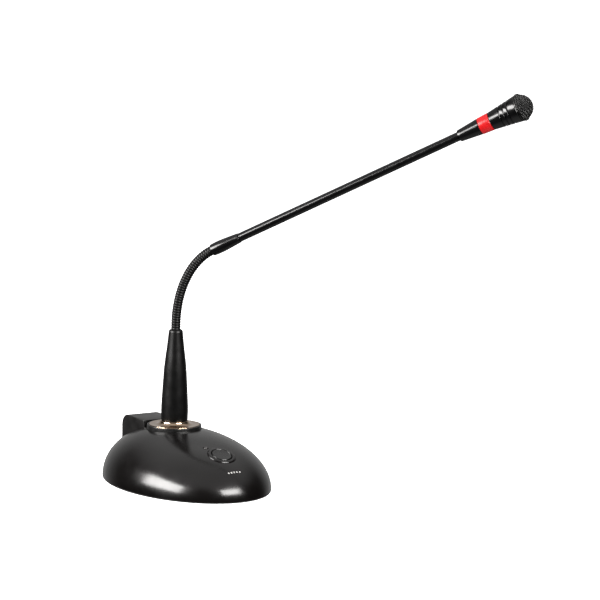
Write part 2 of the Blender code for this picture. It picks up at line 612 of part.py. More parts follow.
def neck_face(height, side):
    """The coned end face of a link, from its bore to its rim, set back from a joint at a height."""
    points = []
    for radius in (NECK_BORE, NECK_RADIUS):
        points.append((radius, height - side * (NECK_FACE_GAP + radius * NECK_FACE_SLOPE)))
    return points


def neck(frames):
    """The neck's root in the sleeve, seven links, and the end piece that the boom is fixed to."""
    coat = black_steel()
    root_frame = Matrix.Rotation(ARM_YAW, 4, "Z")
    root_frame.translation = Vector((0.0, 0.0, SLEEVE_TOP))
    outline = [(NECK_BORE, -9.0 * MM), (NECK_SPIGOT, -9.0 * MM), (NECK_SPIGOT, GAP), (NECK_RADIUS, GAP)]
    outline += neck_face(NECK_FIRST_JOINT, 1)[::-1]
    carrier = turned("neck_root", outline, coat, 24, root_frame)
    for number, frame in enumerate(frames[:-1], 1):
        outline = neck_face(0.0, -1) + neck_face(link_length(number - 1), 1)[::-1]
        carrier = turned(f"neck_link_{number}", outline, coat, 24, frame, carrier)
    end = COUPLER_START - GAP
    outline = neck_face(0.0, -1) + [(NECK_RADIUS, end), (NECK_SPIGOT, end), (NECK_SPIGOT, end + 8.0 * MM),
                                    (NECK_BORE, end + 8.0 * MM)]
    return turned("neck_end", outline, coat, 24, frames[-1], carrier)


def boom(frame, carrier):
    """The ferrule after the neck and the long straight tube."""
    start = COUPLER_START
    end = start + COUPLER_LENGTH
    outline = [(BOOM_BORE, start), (4.6 * MM, start), (5.0 * MM, start + 0.8 * MM), (5.2 * MM, start + 7.0 * MM),
               (5.1 * MM, start + 13.0 * MM), (4.2 * MM, end - MM), (4.0 * MM, end), (NECK_SPIGOT, end),
               (NECK_SPIGOT, end + 12.0 * MM), (1.5 * MM, end + 12.0 * MM), (1.5 * MM, start + 9.0 * MM),
               (BOOM_BORE, start + 9.0 * MM)]
    turned("boom_coupler", outline, black_lacquer(), 28, frame, carrier)
    pipe("boom_tube", BOOM_BORE, BOOM_RADIUS, BOOM_START, BOOM_START + BOOM_LENGTH, lacquered_steel(), 24,
         frame, carrier)
    rod("mic_lead", LEAD_RADIUS, start + 10.0 * MM, BARREL_START + 5.0 * MM, black_rubber(), 10, frame, carrier)


def head_tail(frame, carrier):
    start = HEAD_START
    end = start + TAIL_LENGTH
    outline = [(1.5 * MM, start - 10.0 * MM), (NECK_SPIGOT, start - 10.0 * MM), (NECK_SPIGOT, start),
               (4.5 * MM, start), (4.85 * MM, start + 0.5 * MM), (6.8 * MM, end), (6.0 * MM, end),
               (6.0 * MM, end - 2.0 * MM), (4.6 * MM, end - 2.0 * MM),
               (4.6 * MM, end - 8.0 * MM), (1.5 * MM, end - 8.0 * MM)]
    turned("head_tail", outline, black_lacquer(), 28, frame, carrier)
    pipe("lamp_board", 4.5 * MM, 5.7 * MM, end - 1.6 * MM, end - 0.6 * MM, circuit_board(), 24, frame, carrier)


def head_ring(frame, carrier):
    end = RING_START + RING_LENGTH
    outline = [(4.5 * MM, RING_START), (6.7 * MM, RING_START), (6.9 * MM, RING_START + 0.3 * MM),
               (7.5 * MM, end - 0.3 * MM), (7.3 * MM, end), (4.5 * MM, end)]
    turned("light_ring", outline, material("red_acrylic", (0.75, 0.02, 0.02), 0.25), 32, frame, carrier)


def barrel_radius(along):
    """Outer radius of the barrel, which widens evenly toward the front."""
    return BARREL_REAR_RADIUS + (BARREL_FRONT_RADIUS - BARREL_REAR_RADIUS) * along / BARREL_LENGTH


def head_barrel(frame, carrier):
    """The grooved barrel, hollow in front for the capsule, with a tail tube that passes the light ring."""
    tail = BARREL_START - RING_LENGTH - 6.0 * MM
    outline = [(2.6 * MM, tail), (4.2 * MM, tail), (4.2 * MM, BARREL_START), (barrel_radius(0.0), BARREL_START)]
    for spot in GROOVE_SPOTS:
        for offset, depth in ((-0.5, 0.0), (-0.3, 0.55), (0.3, 0.55), (0.5, 0.0)):
            along = (spot + offset) * MM
            outline.append((barrel_radius(along) - depth * MM, BARREL_START + along))
    end = BARREL_START + BARREL_LENGTH
    outline += [(barrel_radius(BARREL_LENGTH), end), (9.4 * MM, end), (9.4 * MM, end - 9.0 * MM),
                (6.4 * MM, end - 9.0 * MM), (6.4 * MM, end - 16.0 * MM), (2.6 * MM, end - 16.0 * MM)]
    turned("head_barrel", outline, black_lacquer(), 32, frame, carrier)
    return end


def capsule_parts(frame, carrier, end):
    rubber = [(5.3 * MM, end - 8.6 * MM), (9.1 * MM, end - 8.6 * MM), (9.1 * MM, end - 1.0 * MM),
              (5.3 * MM, end - 1.0 * MM)]
    turned("capsule_holder", rubber, black_rubber(), 28, frame, carrier)
    rod("mic_capsule", 5.0 * MM, end - 7.5 * MM, end - 0.8 * MM,
        material("capsule_aluminium", (0.72, 0.72, 0.72), 0.35, 1.0), 24, frame, carrier)


def grille_dome(inset):
    """The domed front of the grille as a half profile, set in by an inset."""
    radius = GRILLE_DOME_RADIUS - inset
    dome = arc((0.0, GRILLE_DOME_CENTRE), radius, GRILLE_DOME_FOOT, 90, 7)
    return dome[:-1] + [(0.0, GRILLE_DOME_CENTRE + radius)]


def grille_outline(inset):
    """The grille's half profile set in by an inset: a low skirt and the domed front."""
    skirt = [(radius * MM - inset, GRILLE_START + height * MM) for radius, height in GRILLE_SKIRT]
    return skirt + grille_dome(inset)


def head_front(frame, carrier):
    """The bright trim ring, the domed grille and the foam inside it."""
    edge = BARREL_FRONT_RADIUS + 0.15 * MM
    trim = [(9.4 * MM, TRIM_START), (edge - 0.2 * MM, TRIM_START), (edge, TRIM_START + 0.3 * MM),
            (edge, TRIM_START + TRIM_LENGTH), (9.4 * MM, TRIM_START + TRIM_LENGTH)]
    turned("trim_ring", trim, material("bright_nickel", (0.75, 0.74, 0.72), 0.18, 1.0), 32, frame, carrier)
    grille = grille_outline(0.9 * MM)[::-1] + grille_outline(0.0)
    turned("grille", grille, black_steel(), 32, frame, carrier)
    foam = [(0.0, GRILLE_START), (8.9 * MM, GRILLE_START)] + grille_dome(1.4 * MM)
    turned("foam_screen", foam, material("grey_foam", (0.05, 0.05, 0.052), 0.95), 24, frame, carrier)


def build():
    clear_scene()
    base_floor()
    ballast()
    preamp_board()
    dome_shell()
    rear_housing()
    output_connector()
    talk_button()
    collar()
    stem()
    frames = arm_frames()
    last = frames[-1]
    carrier = neck(frames)
    boom(last, carrier)
    head_tail(last, carrier)
    head_ring(last, carrier)
    end = head_barrel(last, carrier)
    capsule_parts(last, carrier, end)
    head_front(last, carrier)


build()
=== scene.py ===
"""Desktop gooseneck microphone: the visual model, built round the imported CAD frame."""
import json
import math

import bmesh
import bpy
from mathutils import Matrix, Vector


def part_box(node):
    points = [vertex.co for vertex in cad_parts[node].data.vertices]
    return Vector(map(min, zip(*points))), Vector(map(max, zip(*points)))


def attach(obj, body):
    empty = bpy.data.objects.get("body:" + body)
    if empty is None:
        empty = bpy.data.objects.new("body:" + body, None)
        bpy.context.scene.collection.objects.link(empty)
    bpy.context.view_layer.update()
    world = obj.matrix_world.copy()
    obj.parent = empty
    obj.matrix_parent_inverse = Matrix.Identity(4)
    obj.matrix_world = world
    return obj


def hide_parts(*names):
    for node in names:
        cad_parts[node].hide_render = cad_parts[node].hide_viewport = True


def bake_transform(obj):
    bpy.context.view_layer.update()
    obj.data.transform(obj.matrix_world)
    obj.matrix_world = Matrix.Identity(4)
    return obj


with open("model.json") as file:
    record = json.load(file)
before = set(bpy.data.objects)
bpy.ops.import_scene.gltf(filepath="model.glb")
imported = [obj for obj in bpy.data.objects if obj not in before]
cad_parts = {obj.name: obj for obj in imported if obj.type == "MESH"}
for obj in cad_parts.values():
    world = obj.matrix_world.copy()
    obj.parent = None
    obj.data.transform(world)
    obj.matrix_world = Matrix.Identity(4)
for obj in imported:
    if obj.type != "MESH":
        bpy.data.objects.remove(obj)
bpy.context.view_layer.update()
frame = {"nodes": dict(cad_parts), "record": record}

MM = 0.001
UP = Vector((0.0, 0.0, 1.0))

# Camera: a long lens, a little above the base, looking past its front left.
CAMERA_AZIMUTH = math.radians(57.0)
CAMERA_ELEVATION = math.radians(8.3)
CAMERA_ROLL = math.radians(1.25)
CAMERA_DISTANCE = 2.407
CAMERA_LENS = 174.0
VIEW_RIGHT = Vector((math.cos(CAMERA_AZIMUTH), math.sin(CAMERA_AZIMUTH), 0.0))
VIEW_AWAY = Vector((-math.sin(CAMERA_AZIMUTH), math.cos(CAMERA_AZIMUTH), 0.0))
VIEW_TARGET = VIEW_RIGHT * 0.10267 + UP * 0.15289

# Shape of the dome, as in the CAD.
DOME_FULLNESS = 2.23
DOME_WALL = 2.4 * MM
BUTTON_X = 76.5 * MM
LAMP_X = 63.0 * MM
LAMP_Y = -7.0 * MM
MARK_X = 96.5 * MM

# Grooves round the head's barrel, from its rear end.
GROOVE_SPOTS = (9.6, 13.5, 17.1)
COIL_PITCH = 2.15 * MM
COIL_DEPTH = 0.72 * MM
WEAVE_PITCH = 1.75 * MM
WEAVE_LIFT = 0.3 * MM
WIRE_RADIUS = 0.36 * MM
FLOOR_RADIUS = 40.0


# ---------------------------------------------------------------- measures taken from the frame

def node_low(name):
    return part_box(name)[0]


def node_high(name):
    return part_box(name)[1]


def node_centre(name):
    low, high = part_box(name)
    return (low + high) / 2


def joint_spot(name):
    for joint in frame["record"]["behaviour"]["joints"]:
        if joint["name"] == name:
            return Vector(joint["pos_m"])
    raise ValueError(name)


def axis_frame(origin, direction, side=None):
    """A frame at a point with local Z along a direction, and local Y along a side if one is given."""
    z = direction.normalized()
    y = side.normalized() if side else z.orthogonal().normalized()
    x = y.cross(z).normalized()
    made = Matrix((x, z.cross(x), z)).transposed().to_4x4()
    made.translation = origin
    return made


def span(name, placed):
    """A CAD node's lowest and highest place along a frame's Z, and its greatest distance from it."""
    back = placed.inverted()
    points = [back @ vertex.co for vertex in frame["nodes"][name].data.vertices]
    along = [point.z for point in points]
    reach = max(math.hypot(point.x, point.y) for point in points)
    return min(along), max(along), reach


JOINT_SPOTS = [joint_spot(f"neck_bend_{number}") for number in range(1, 9)]
ARM_SPOT = JOINT_SPOTS[-1]
ARM_DIRECTION = (node_centre("boom_tube") - ARM_SPOT).normalized()
BEND_AXIS = UP.cross(ARM_DIRECTION).normalized()
ARM = axis_frame(ARM_SPOT, ARM_DIRECTION, BEND_AXIS)

DOME_LOW = node_low("dome_shell")
DOME_HIGH = node_high("dome_shell")
RIM_CENTRE_X = (DOME_LOW.x + DOME_HIGH.x) / 2
RIM_HALF_LENGTH = (DOME_HIGH.x - DOME_LOW.x) / 2
RIM_HALF_WIDTH = (DOME_HIGH.y - DOME_LOW.y) / 2
DOME_BOTTOM = DOME_LOW.z
DOME_RISE = 43.0 * MM


def dome_height(x, y):
    """Height of the dome's outer face above a point of the floor."""
    square = 1 - (RIM_CENTRE_X / RIM_HALF_LENGTH) ** 2
    middle = x * RIM_CENTRE_X / RIM_HALF_LENGTH ** 2
    rest = (x / RIM_HALF_LENGTH) ** 2 + (y / RIM_HALF_WIDTH) ** 2
    share = (-middle + math.sqrt(middle ** 2 + square * rest)) / square
    return DOME_BOTTOM + DOME_RISE * math.sqrt(max(0.0, 1 - share ** DOME_FULLNESS))


def surface_frame(x, y):
    """A frame on the dome at (x, y): local Z points out of the surface and local Y across the base."""
    step = 0.1 * MM
    slope_x = (dome_height(x + step, y) - dome_height(x - step, y)) / (2 * step)
    slope_y = (dome_height(x, y + step) - dome_height(x, y - step)) / (2 * step)
    out = Vector((-slope_x, -slope_y, 1.0)).normalized()
    along = Vector((1.0, 0.0, slope_x)).normalized()
    made = Matrix((along, out.cross(along), out)).transposed().to_4x4()
    made.translation = Vector((x, y, dome_height(x, y)))
    return made


# ---------------------------------------------------------------- materials

def noise_texture(nodes, links, coordinate, scale, detail=4.0, stretch=None):
    texture = nodes.new("ShaderNodeTexNoise")
    texture.inputs["Scale"].default_value = scale
    texture.inputs["Detail"].default_value = detail
    source = coordinate
    if stretch:
        mapping = nodes.new("ShaderNodeMapping")
        mapping.inputs["Scale"].default_value = stretch
        links.new(source, mapping.inputs["Vector"])
        source = mapping.outputs["Vector"]
    links.new(source, texture.inputs["Vector"])
    return texture.outputs["Fac"]


def remapped(nodes, links, value, low, high, from_low=0.35, from_high=0.65):
    """A noise value spread over a range."""
    spread = nodes.new("ShaderNodeMapRange")
    spread.inputs["From Min"].default_value = from_low
    spread.inputs["From Max"].default_value = from_high
    spread.inputs["To Min"].default_value = low
    spread.inputs["To Max"].default_value = high
    links.new(value, spread.inputs["Value"])
    return spread.outputs["Result"]


def mixed_colours(nodes, links, value, dark, light):
    mix = nodes.new("ShaderNodeMix")
    mix.data_type = "RGBA"
    mix.inputs["A"].default_value = (*dark, 1.0)
    mix.inputs["B"].default_value = (*light, 1.0)
    links.new(value, mix.inputs["Factor"])
    return mix.outputs["Result"]


def surface(name, dark, light, roughness, metallic=0.0, patch=60.0, grain=2500.0, bump=0.02,
            bump_depth=0.05 * MM, coat=0.0, coat_roughness=0.05, stretch=None, specular=0.5, painted_edge_highlight=None):
    """A material with a mottled colour, uneven gloss and a fine grain.

    roughness is a pair: the glossiest and the dullest patch. The last argument is a lighter colour painted
    along sharp edges as a highlight.
    """
    made = bpy.data.materials.new(name)
    made.use_nodes = True
    nodes, links = made.node_tree.nodes, made.node_tree.links
    shader = nodes["Principled BSDF"]
    place = nodes.new("ShaderNodeTexCoord").outputs["Object"]
    blotch = noise_texture(nodes, links, place, patch, 6.0)
    smear = noise_texture(nodes, links, place, patch * 2.7, 5.0, stretch)
    fine = noise_texture(nodes, links, place, grain, 2.0, stretch)
    colour = mixed_colours(nodes, links, remapped(nodes, links, blotch, 0.0, 1.0), dark, light)
    # Painted highlight: the edge colour goes on sharp convex edges, broken up by noise.
    if painted_edge_highlight:
        geometry = nodes.new("ShaderNodeNewGeometry")
        edge = remapped(nodes, links, geometry.outputs["Pointiness"], 0.0, 1.0, 0.53, 0.62)
        painted_highlight_mask = nodes.new("ShaderNodeMath")
        painted_highlight_mask.operation = "MULTIPLY"
        links.new(edge, painted_highlight_mask.inputs[0])
        links.new(remapped(nodes, links, smear, 0.0, 0.8), painted_highlight_mask.inputs[1])
        mix = nodes.new("ShaderNodeMix")
        mix.data_type = "RGBA"
        mix.inputs["B"].default_value = (*painted_edge_highlight, 1.0)
        links.new(painted_highlight_mask.outputs["Value"], mix.inputs["Factor"])
        links.new(colour, mix.inputs["A"])
        colour = mix.outputs["Result"]
    links.new(colour, shader.inputs["Base Color"])
    gloss = remapped(nodes, links, smear, *roughness)
    links.new(gloss, shader.inputs["Roughness"])
    shader.inputs["Metallic"].default_value = metallic
    shader.inputs["Specular IOR Level"].default_value = specular
    shader.inputs["Coat Weight"].default_value = coat
    shader.inputs["Coat Roughness"].default_value = coat_roughness
    if bump:
        relief = nodes.new("ShaderNodeBump")
        relief.inputs["Strength"].default_value = bump
        relief.inputs["Distance"].default_value = bump_depth
        links.new(fine, relief.inputs["Height"])
        links.new(relief.outputs["Normal"], shader.inputs["Normal"])
    return made


def make_coats():
    coats = {}
    # The edge colours given below are painted highlights along sharp edges.
    coats["dome"] = surface("coat_dome", (0.0016, 0.0013, 0.0013), (0.0026, 0.0022, 0.0021), (0.19, 0.25),
                            patch=28.0, grain=1800.0, bump=0.03,
                            bump_depth=0.02 * MM, specular=0.42, painted_edge_highlight=(0.012, 0.011, 0.011))
    coats["housing"] = surface("coat_housing", (0.0024, 0.0022, 0.0022), (0.004, 0.0036, 0.0036), (0.3, 0.4),
                               patch=45.0, grain=1400.0, bump=0.1,
                               bump_depth=0.03 * MM, painted_edge_highlight=(0.012, 0.012, 0.012))
    coats["rubber"] = surface("coat_rubber", (0.002, 0.002, 0.002), (0.004, 0.004, 0.004), (0.7, 0.92),
                              patch=90.0, grain=2200.0, bump=0.3, bump_depth=0.08 * MM)
    coats["seat"] = surface("coat_seat", (0.0014, 0.0014, 0.0014), (0.0026, 0.0026, 0.0026), (0.3, 0.42),
                            patch=80.0, grain=2400.0, bump=0.12)
    coats["lacquer"] = surface("coat_lacquer", (0.0012, 0.0012, 0.0013), (0.002, 0.002, 0.0022), (0.17, 0.24),
                               patch=70.0, grain=5000.0, bump=0.004, bump_depth=0.01 * MM, specular=0.4)
    coats["sleeve"] = surface("coat_sleeve", (0.0011, 0.0011, 0.0011), (0.0018, 0.0018, 0.0018), (0.3, 0.38),
                              patch=50.0, grain=3000.0, bump=0.02, specular=0.24, bump_depth=0.02 * MM)
    coats["neck"] = surface("coat_neck", (0.0015, 0.0015, 0.0015), (0.003, 0.003, 0.003), (0.34, 0.44), 0.0,
                            patch=120.0, grain=2600.0, bump=0.06, specular=0.22, painted_edge_highlight=(0.012, 0.012, 0.012))
    coats["button"] = surface("coat_button", (0.0018, 0.0017, 0.0017), (0.003, 0.0029, 0.0028), (0.2, 0.32),
                              patch=160.0, grain=2600.0, bump=0.06, bump_depth=0.03 * MM,
                              painted_edge_highlight=(0.04, 0.04, 0.04))
    coats["lens"] = surface("coat_lens", (0.02, 0.019, 0.018), (0.035, 0.033, 0.032), (0.12, 0.2), patch=300.0,
                            grain=2600.0, bump=0.05)
    coats["champagne"] = surface("coat_champagne", (0.36, 0.26, 0.18), (0.5, 0.38, 0.28), (0.07, 0.13), 1.0,
                                 patch=70.0, grain=1200.0, bump=0.04, bump_depth=0.02 * MM)
    coats["nickel"] = surface("coat_nickel", (0.07, 0.069, 0.068), (0.11, 0.109, 0.107), (0.16, 0.26), 1.0,
                              patch=120.0, grain=2200.0, bump=0.05)
    coats["zinc"] = surface("coat_zinc", (0.48, 0.48, 0.47), (0.68, 0.68, 0.66), (0.28, 0.45), 1.0,
                            patch=90.0, grain=900.0, bump=0.1, stretch=(1.0, 1.0, 6.0))
    coats["dark_screw"] = surface("coat_dark_screw", (0.015, 0.015, 0.016), (0.035, 0.035, 0.035),
                                  (0.3, 0.45), 0.9,
                                  patch=200.0, grain=2400.0, bump=0.12, painted_edge_highlight=(0.3, 0.3, 0.29))
    coats["mesh"] = surface("coat_mesh", (0.004, 0.004, 0.004), (0.009, 0.009, 0.009), (0.24, 0.34), 0.25,
                            patch=400.0, grain=2500.0, bump=0.05)
    coats["iron"] = surface("coat_iron", (0.05, 0.05, 0.052), (0.1, 0.1, 0.105), (0.55, 0.8), 0.9,
                            patch=80.0, grain=700.0, bump=0.5, bump_depth=0.2 * MM)
    coats["brass"] = surface("coat_brass", (0.6, 0.44, 0.18), (0.76, 0.6, 0.3), (0.25, 0.4), 1.0,
                             patch=150.0, grain=1500.0, bump=0.08)
    coats["silver"] = surface("coat_silver", (0.68, 0.67, 0.64), (0.84, 0.83, 0.8), (0.15, 0.28), 1.0,
                              patch=200.0, grain=1500.0, bump=0.05)
    coats["nylon"] = surface("coat_nylon", (0.02, 0.02, 0.02), (0.035, 0.035, 0.035), (0.5, 0.65),
                             patch=150.0, grain=1800.0, bump=0.15)
    coats["grey_switch"] = surface("coat_grey_switch", (0.46, 0.46, 0.44), (0.58, 0.58, 0.56), (0.4, 0.55),
                                   patch=150.0, grain=1800.0, bump=0.1)
    coats["aluminium"] = surface("coat_aluminium", (0.6, 0.6, 0.6), (0.75, 0.75, 0.75), (0.25, 0.4), 1.0,
                                 patch=150.0, grain=1500.0, bump=0.08)
    coats["foam"] = surface("coat_foam", (0.0006, 0.0006, 0.0006), (0.0018, 0.0018, 0.0018), (0.9, 1.0),
                            patch=900.0, grain=1600.0, bump=0.7, bump_depth=0.3 * MM)
    coats["print"] = surface("coat_print", (0.3, 0.295, 0.285), (0.4, 0.395, 0.385), (0.45, 0.6),
                             patch=900.0, grain=2600.0, bump=0.08)
    coats["board"] = circuit_board()
    coats["red"] = red_acrylic()
    return coats


def circuit_board():
    """Green solder mask with faint copper tracks."""
    made = surface("coat_board", (0.01, 0.09, 0.045), (0.02, 0.14, 0.07), (0.35, 0.5), patch=90.0, bump=0.1)
    nodes, links = made.node_tree.nodes, made.node_tree.links
    tracks = nodes.new("ShaderNodeTexBrick")
    tracks.inputs["Scale"].default_value = 260.0
    tracks.inputs["Mortar Size"].default_value = 0.03
    tracks.inputs["Color1"].default_value = (0.01, 0.1, 0.05, 1.0)
    tracks.inputs["Color2"].default_value = (0.016, 0.13, 0.065, 1.0)
    tracks.inputs["Mortar"].default_value = (0.05, 0.2, 0.09, 1.0)
    links.new(nodes["Texture Coordinate"].outputs["Object"], tracks.inputs["Vector"])
    links.new(tracks.outputs["Color"], nodes["Principled BSDF"].inputs["Base Color"])
    return made


def red_acrylic():
    """Clear red plastic with light in it."""
    made = surface("coat_red", (0.24, 0.004, 0.005), (0.32, 0.006, 0.007), (0.24, 0.34), patch=220.0,
                   grain=1400.0, bump=0.01)
    shader = made.node_tree.nodes["Principled BSDF"]
    shader.inputs["Subsurface Weight"].default_value = 0.25
    shader.inputs["Subsurface Radius"].default_value = (0.004, 0.0006, 0.0006)
    shader.inputs["Emission Color"].default_value = (1.0, 0.012, 0.016, 1.0)
    shader.inputs["Emission Strength"].default_value = 0.22
    return made


COATS = make_coats()


# ---------------------------------------------------------------- mesh tools

def placed_object(name, mesh_maker, coat, placed=Matrix.Identity(4), sharp=32.0):
    """Turn a bmesh into an object, shaded smooth except at its sharp edges."""
    bmesh.ops.recalc_face_normals(mesh_maker, faces=mesh_maker.faces)
    mesh = bpy.data.meshes.new(name)
    mesh_maker.to_mesh(mesh)
    mesh_maker.free()
    made = bpy.data.objects.new(name, mesh)
    bpy.context.collection.objects.link(made)
    mesh.transform(placed)
    shade(made, sharp)
    if coat:
        mesh.materials.append(COATS[coat])
    return made


def shade(made, sharp=32.0):
    made.data.polygons.foreach_set("use_smooth", [True] * len(made.data.polygons))
    made.data.set_sharp_from_angle(angle=math.radians(sharp))


def piece(made, body, slot, *replaced):
    """Put a piece on the body it rides on and hide the CAD nodes it stands for. The slot argument is not used.
    """
    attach(made, body)
    if replaced:
        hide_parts(*replaced)
    return made


def rounded(points, radius, steps=4):
    """A run of (x, y) points with each inner corner replaced by a short curve."""
    made = [points[0]]
    for before, corner, after in zip(points, points[1:], points[2:]):
        ends = []
        for other in (before, after):
            reach = math.dist(corner, other)
            share = min(radius / reach, 0.45) if reach else 0.0
            ends.append(tuple(corner[side] + (other[side] - corner[side]) * share for side in (0, 1)))
        for step in range(steps + 1):
            t = step / steps
            made.append(tuple((1 - t) ** 2 * ends[0][side] + 2 * t * (1 - t) * corner[side]
                              + t ** 2 * ends[1][side] for side in (0, 1)))
    made.append(points[-1])
    return made


def smooth_run(points, steps=8):
    """A smooth curve through (x, y) points."""
    made = []
    for number in range(len(points) - 1):
        a = points[max(number - 1, 0)]
        b, c = points[number], points[number + 1]
        d = points[min(number + 2, len(points) - 1)]
        for step in range(steps):
            t = step / steps
            made.append(tuple(0.5 * (2 * b[side] + (c[side] - a[side]) * t
                                     + (2 * a[side] - 5 * b[side] + 4 * c[side] - d[side]) * t ** 2
                                     + (3 * b[side] - a[side] - 3 * c[side] + d[side]) * t ** 3)
                              for side in (0, 1)))
    made.append(points[-1])
    return made


def turned(name, outline, coat, placed=Matrix.Identity(4), sides=96, sharp=32.0):
    """Spin (radius, height) points about local Z. An outline that doesn't start and end on the axis closes."""
    maker = bmesh.new()
    rings = []
    for radius, height in outline:
        if radius < 1e-7:
            rings.append([maker.verts.new((0.0, 0.0, height))])
            continue
        rings.append([maker.verts.new((radius * math.cos(math.tau * side / sides),
                                       radius * math.sin(math.tau * side / sides), height))
                      for side in range(sides)])
    pairs = list(zip(rings, rings[1:]))
    if len(rings[0]) > 1 and len(rings[-1]) > 1:
        pairs.append((rings[-1], rings[0]))
    for lower, upper in pairs:
        for side in range(sides):
            after = (side + 1) % sides
            corners = []
            for corner in (lower[side % len(lower)], lower[after % len(lower)],
                           upper[after % len(upper)], upper[side % len(upper)]):
                if corner not in corners:
                    corners.append(corner)
            if len(corners) > 2:
                maker.faces.new(corners)
    return placed_object(name, maker, coat, placed, sharp)


def extruded(name, outline, bottom, top, coat, placed=Matrix.Identity(4), bevel=0.0, sharp=32.0):
    """Extrude a flat (x, y) outline along local Z, with its edges rounded if a bevel is given."""
    maker = bmesh.new()
    face = maker.faces.new([maker.verts.new((x, y, bottom)) for x, y in outline])
    grown = bmesh.ops.extrude_face_region(maker, geom=[face])
    lifted = [item for item in grown["geom"] if isinstance(item, bmesh.types.BMVert)]
    bmesh.ops.translate(maker, vec=(0, 0, top - bottom), verts=lifted)
    if bevel:
        edges = [edge for edge in maker.edges if len(edge.link_faces) == 2
                 and edge.calc_face_angle(0.0) > math.radians(50)]
        bmesh.ops.bevel(maker, geom=edges, offset=bevel, segments=3, affect="EDGES", profile=0.5)
    return placed_object(name, maker, coat, placed, sharp)


def box_tool(name, low, high, placed=Matrix.Identity(4)):
    outline = [(low[0], low[1]), (high[0], low[1]), (high[0], high[1]), (low[0], high[1])]
    return extruded(name, outline, low[2], high[2], None, placed)


def round_tool(name, radius, bottom, top, placed=Matrix.Identity(4), sides=64):
    return turned(name, [(0.0, bottom), (radius, bottom), (radius, top), (0.0, top)], None, placed, sides)


def carve(target, tool, operation="DIFFERENCE", sharp=32.0):
    """Cut a tool out of a target, or weld it on, and throw the tool away."""
    change = target.modifiers.new("carve", "BOOLEAN")
    change.operation = operation
    change.object = tool
    change.solver = "EXACT"
    depsgraph = bpy.context.evaluated_depsgraph_get()
    result = bpy.data.meshes.new_from_object(target.evaluated_get(depsgraph))
    target.modifiers.clear()
    old = target.data
    target.data = result
    result.name = old.name
    bpy.data.meshes.remove(old)
    bpy.data.objects.remove(tool, do_unlink=True)
    shade(target, sharp)
    return target


def join(first, *others):
    """Put several objects' meshes into the first one."""
    maker = bmesh.new()
    maker.from_mesh(first.data)
    for other in others:
        maker.from_mesh(other.data)
        bpy.data.objects.remove(other, do_unlink=True)
    maker.to_mesh(first.data)
    maker.free()
    shade(first)
    return first


def tube(maker, points, radius, sides=6, closed=False):
    """A round wire along points, added to a bmesh."""
    rings = []
    count = len(points)
    normal = None
    for number, point in enumerate(points):
        ahead = points[(number + 1) % count] if closed or number < count - 1 else point
        behind = points[number - 1] if closed or number > 0 else point
        tangent = (ahead - behind).normalized()
        if normal is None:
            normal = tangent.orthogonal().normalized()
        normal = (normal - tangent * normal.dot(tangent)).normalized()
        other = tangent.cross(normal)
        rings.append([maker.verts.new(point + radius * (math.cos(math.tau * side / sides) * normal
                                                        + math.sin(math.tau * side / sides) * other))
                      for side in range(sides)])
    pairs = list(zip(rings, rings[1:]))
    if closed:
        pairs.append((rings[-1], rings[0]))
    for lower, upper in pairs:
        for side in range(sides):
            after = (side + 1) % sides
            maker.faces.new((lower[side], lower[after], upper[after], upper[side]))
    if not closed:
        maker.faces.new(rings[0][::-1])
        maker.faces.new(rings[-1])


# ---------------------------------------------------------------- base

def dome_mesh(name, inset, sides, rings, low):
    """A closed dome: the outer face set in by an inset, and a flat floor at a height."""
    maker = bmesh.new()
    loops = []
    for ring in range(rings):
        turn = math.pi / 2 * ring / rings
        share = math.cos(turn) ** (2 / DOME_FULLNESS)
        height = low if ring == 0 else DOME_BOTTOM + (DOME_RISE - inset) * math.sin(turn)
        loop = []
        for side in range(sides):
            angle = math.tau * side / sides
            x = RIM_CENTRE_X + (RIM_HALF_LENGTH - inset) * math.cos(angle)
            y = (RIM_HALF_WIDTH - inset) * math.sin(angle)
            loop.append(maker.verts.new((x * share, y * share, height)))
        loops.append(loop)
    crown = maker.verts.new((0.0, 0.0, DOME_BOTTOM + DOME_RISE - inset))
    for lower, upper in zip(loops, loops[1:]):
        for side in range(sides):
            after = (side + 1) % sides
            maker.faces.new((lower[side], lower[after], upper[after], upper[side]))
    for side in range(sides):
        maker.faces.new((loops[-1][side], loops[-1][(side + 1) % sides], crown))
    maker.faces.new(loops[0])
    return placed_object(name, maker, None)


def dome_cover():
    cover = dome_mesh("dome_cover", 0.0, 168, 56, DOME_BOTTOM)
    cover.data.materials.append(COATS["dome"])
    hollow = dome_mesh("hollow", DOME_WALL, 96, 24, DOME_BOTTOM - 1.0 * MM)
    rear = node_low("rear_housing").x
    front = node_high("rear_housing").x
    half = node_high("rear_housing").y + 0.3 * MM
    wall = 2.4 * MM
    recess_floor = 10.0 * MM
    carve(cover, box_tool("recess", (-0.2, -half, recess_floor), (rear - 0.3 * MM, half, 0.1)))
    keep = box_tool("keep", (-0.2, -half - wall, -0.01), (rear - 0.3 * MM, half + wall, 0.1))
    carve(hollow, keep)
    carve(cover, hollow)
    button = surface_frame(BUTTON_X, 0.0)
    gasket = span("collar_gasket", Matrix.Identity(4))
    bezel = span("button_bezel", button)
    carve(cover, round_tool("pocket", gasket[2] + 0.35 * MM, gasket[0] - 0.3 * MM, 0.06, sides=96))
    carve(cover, round_tool("bezel_hole", bezel[2] + 0.3 * MM, -0.008, 0.012, button, 96))
    lamp = surface_frame(LAMP_X, LAMP_Y)
    carve(cover, round_tool("lamp_hole", 1.8 * MM, -0.008, 0.005, lamp, 32))
    dish = [(0.0, -0.5 * MM), (1.9 * MM, -0.45 * MM), (2.9 * MM, 0.5 * MM), (0.0, 0.5 * MM)]
    carve(cover, turned("lamp_dish", dish, None, lamp, 40))
    carve(cover, box_tool("slot", (rear - 0.6 * MM, -half, -0.01), (front + 0.3 * MM, half, 0.1)), sharp=28.0)
    piece(cover, "base", "black_abs", "dome_shell")


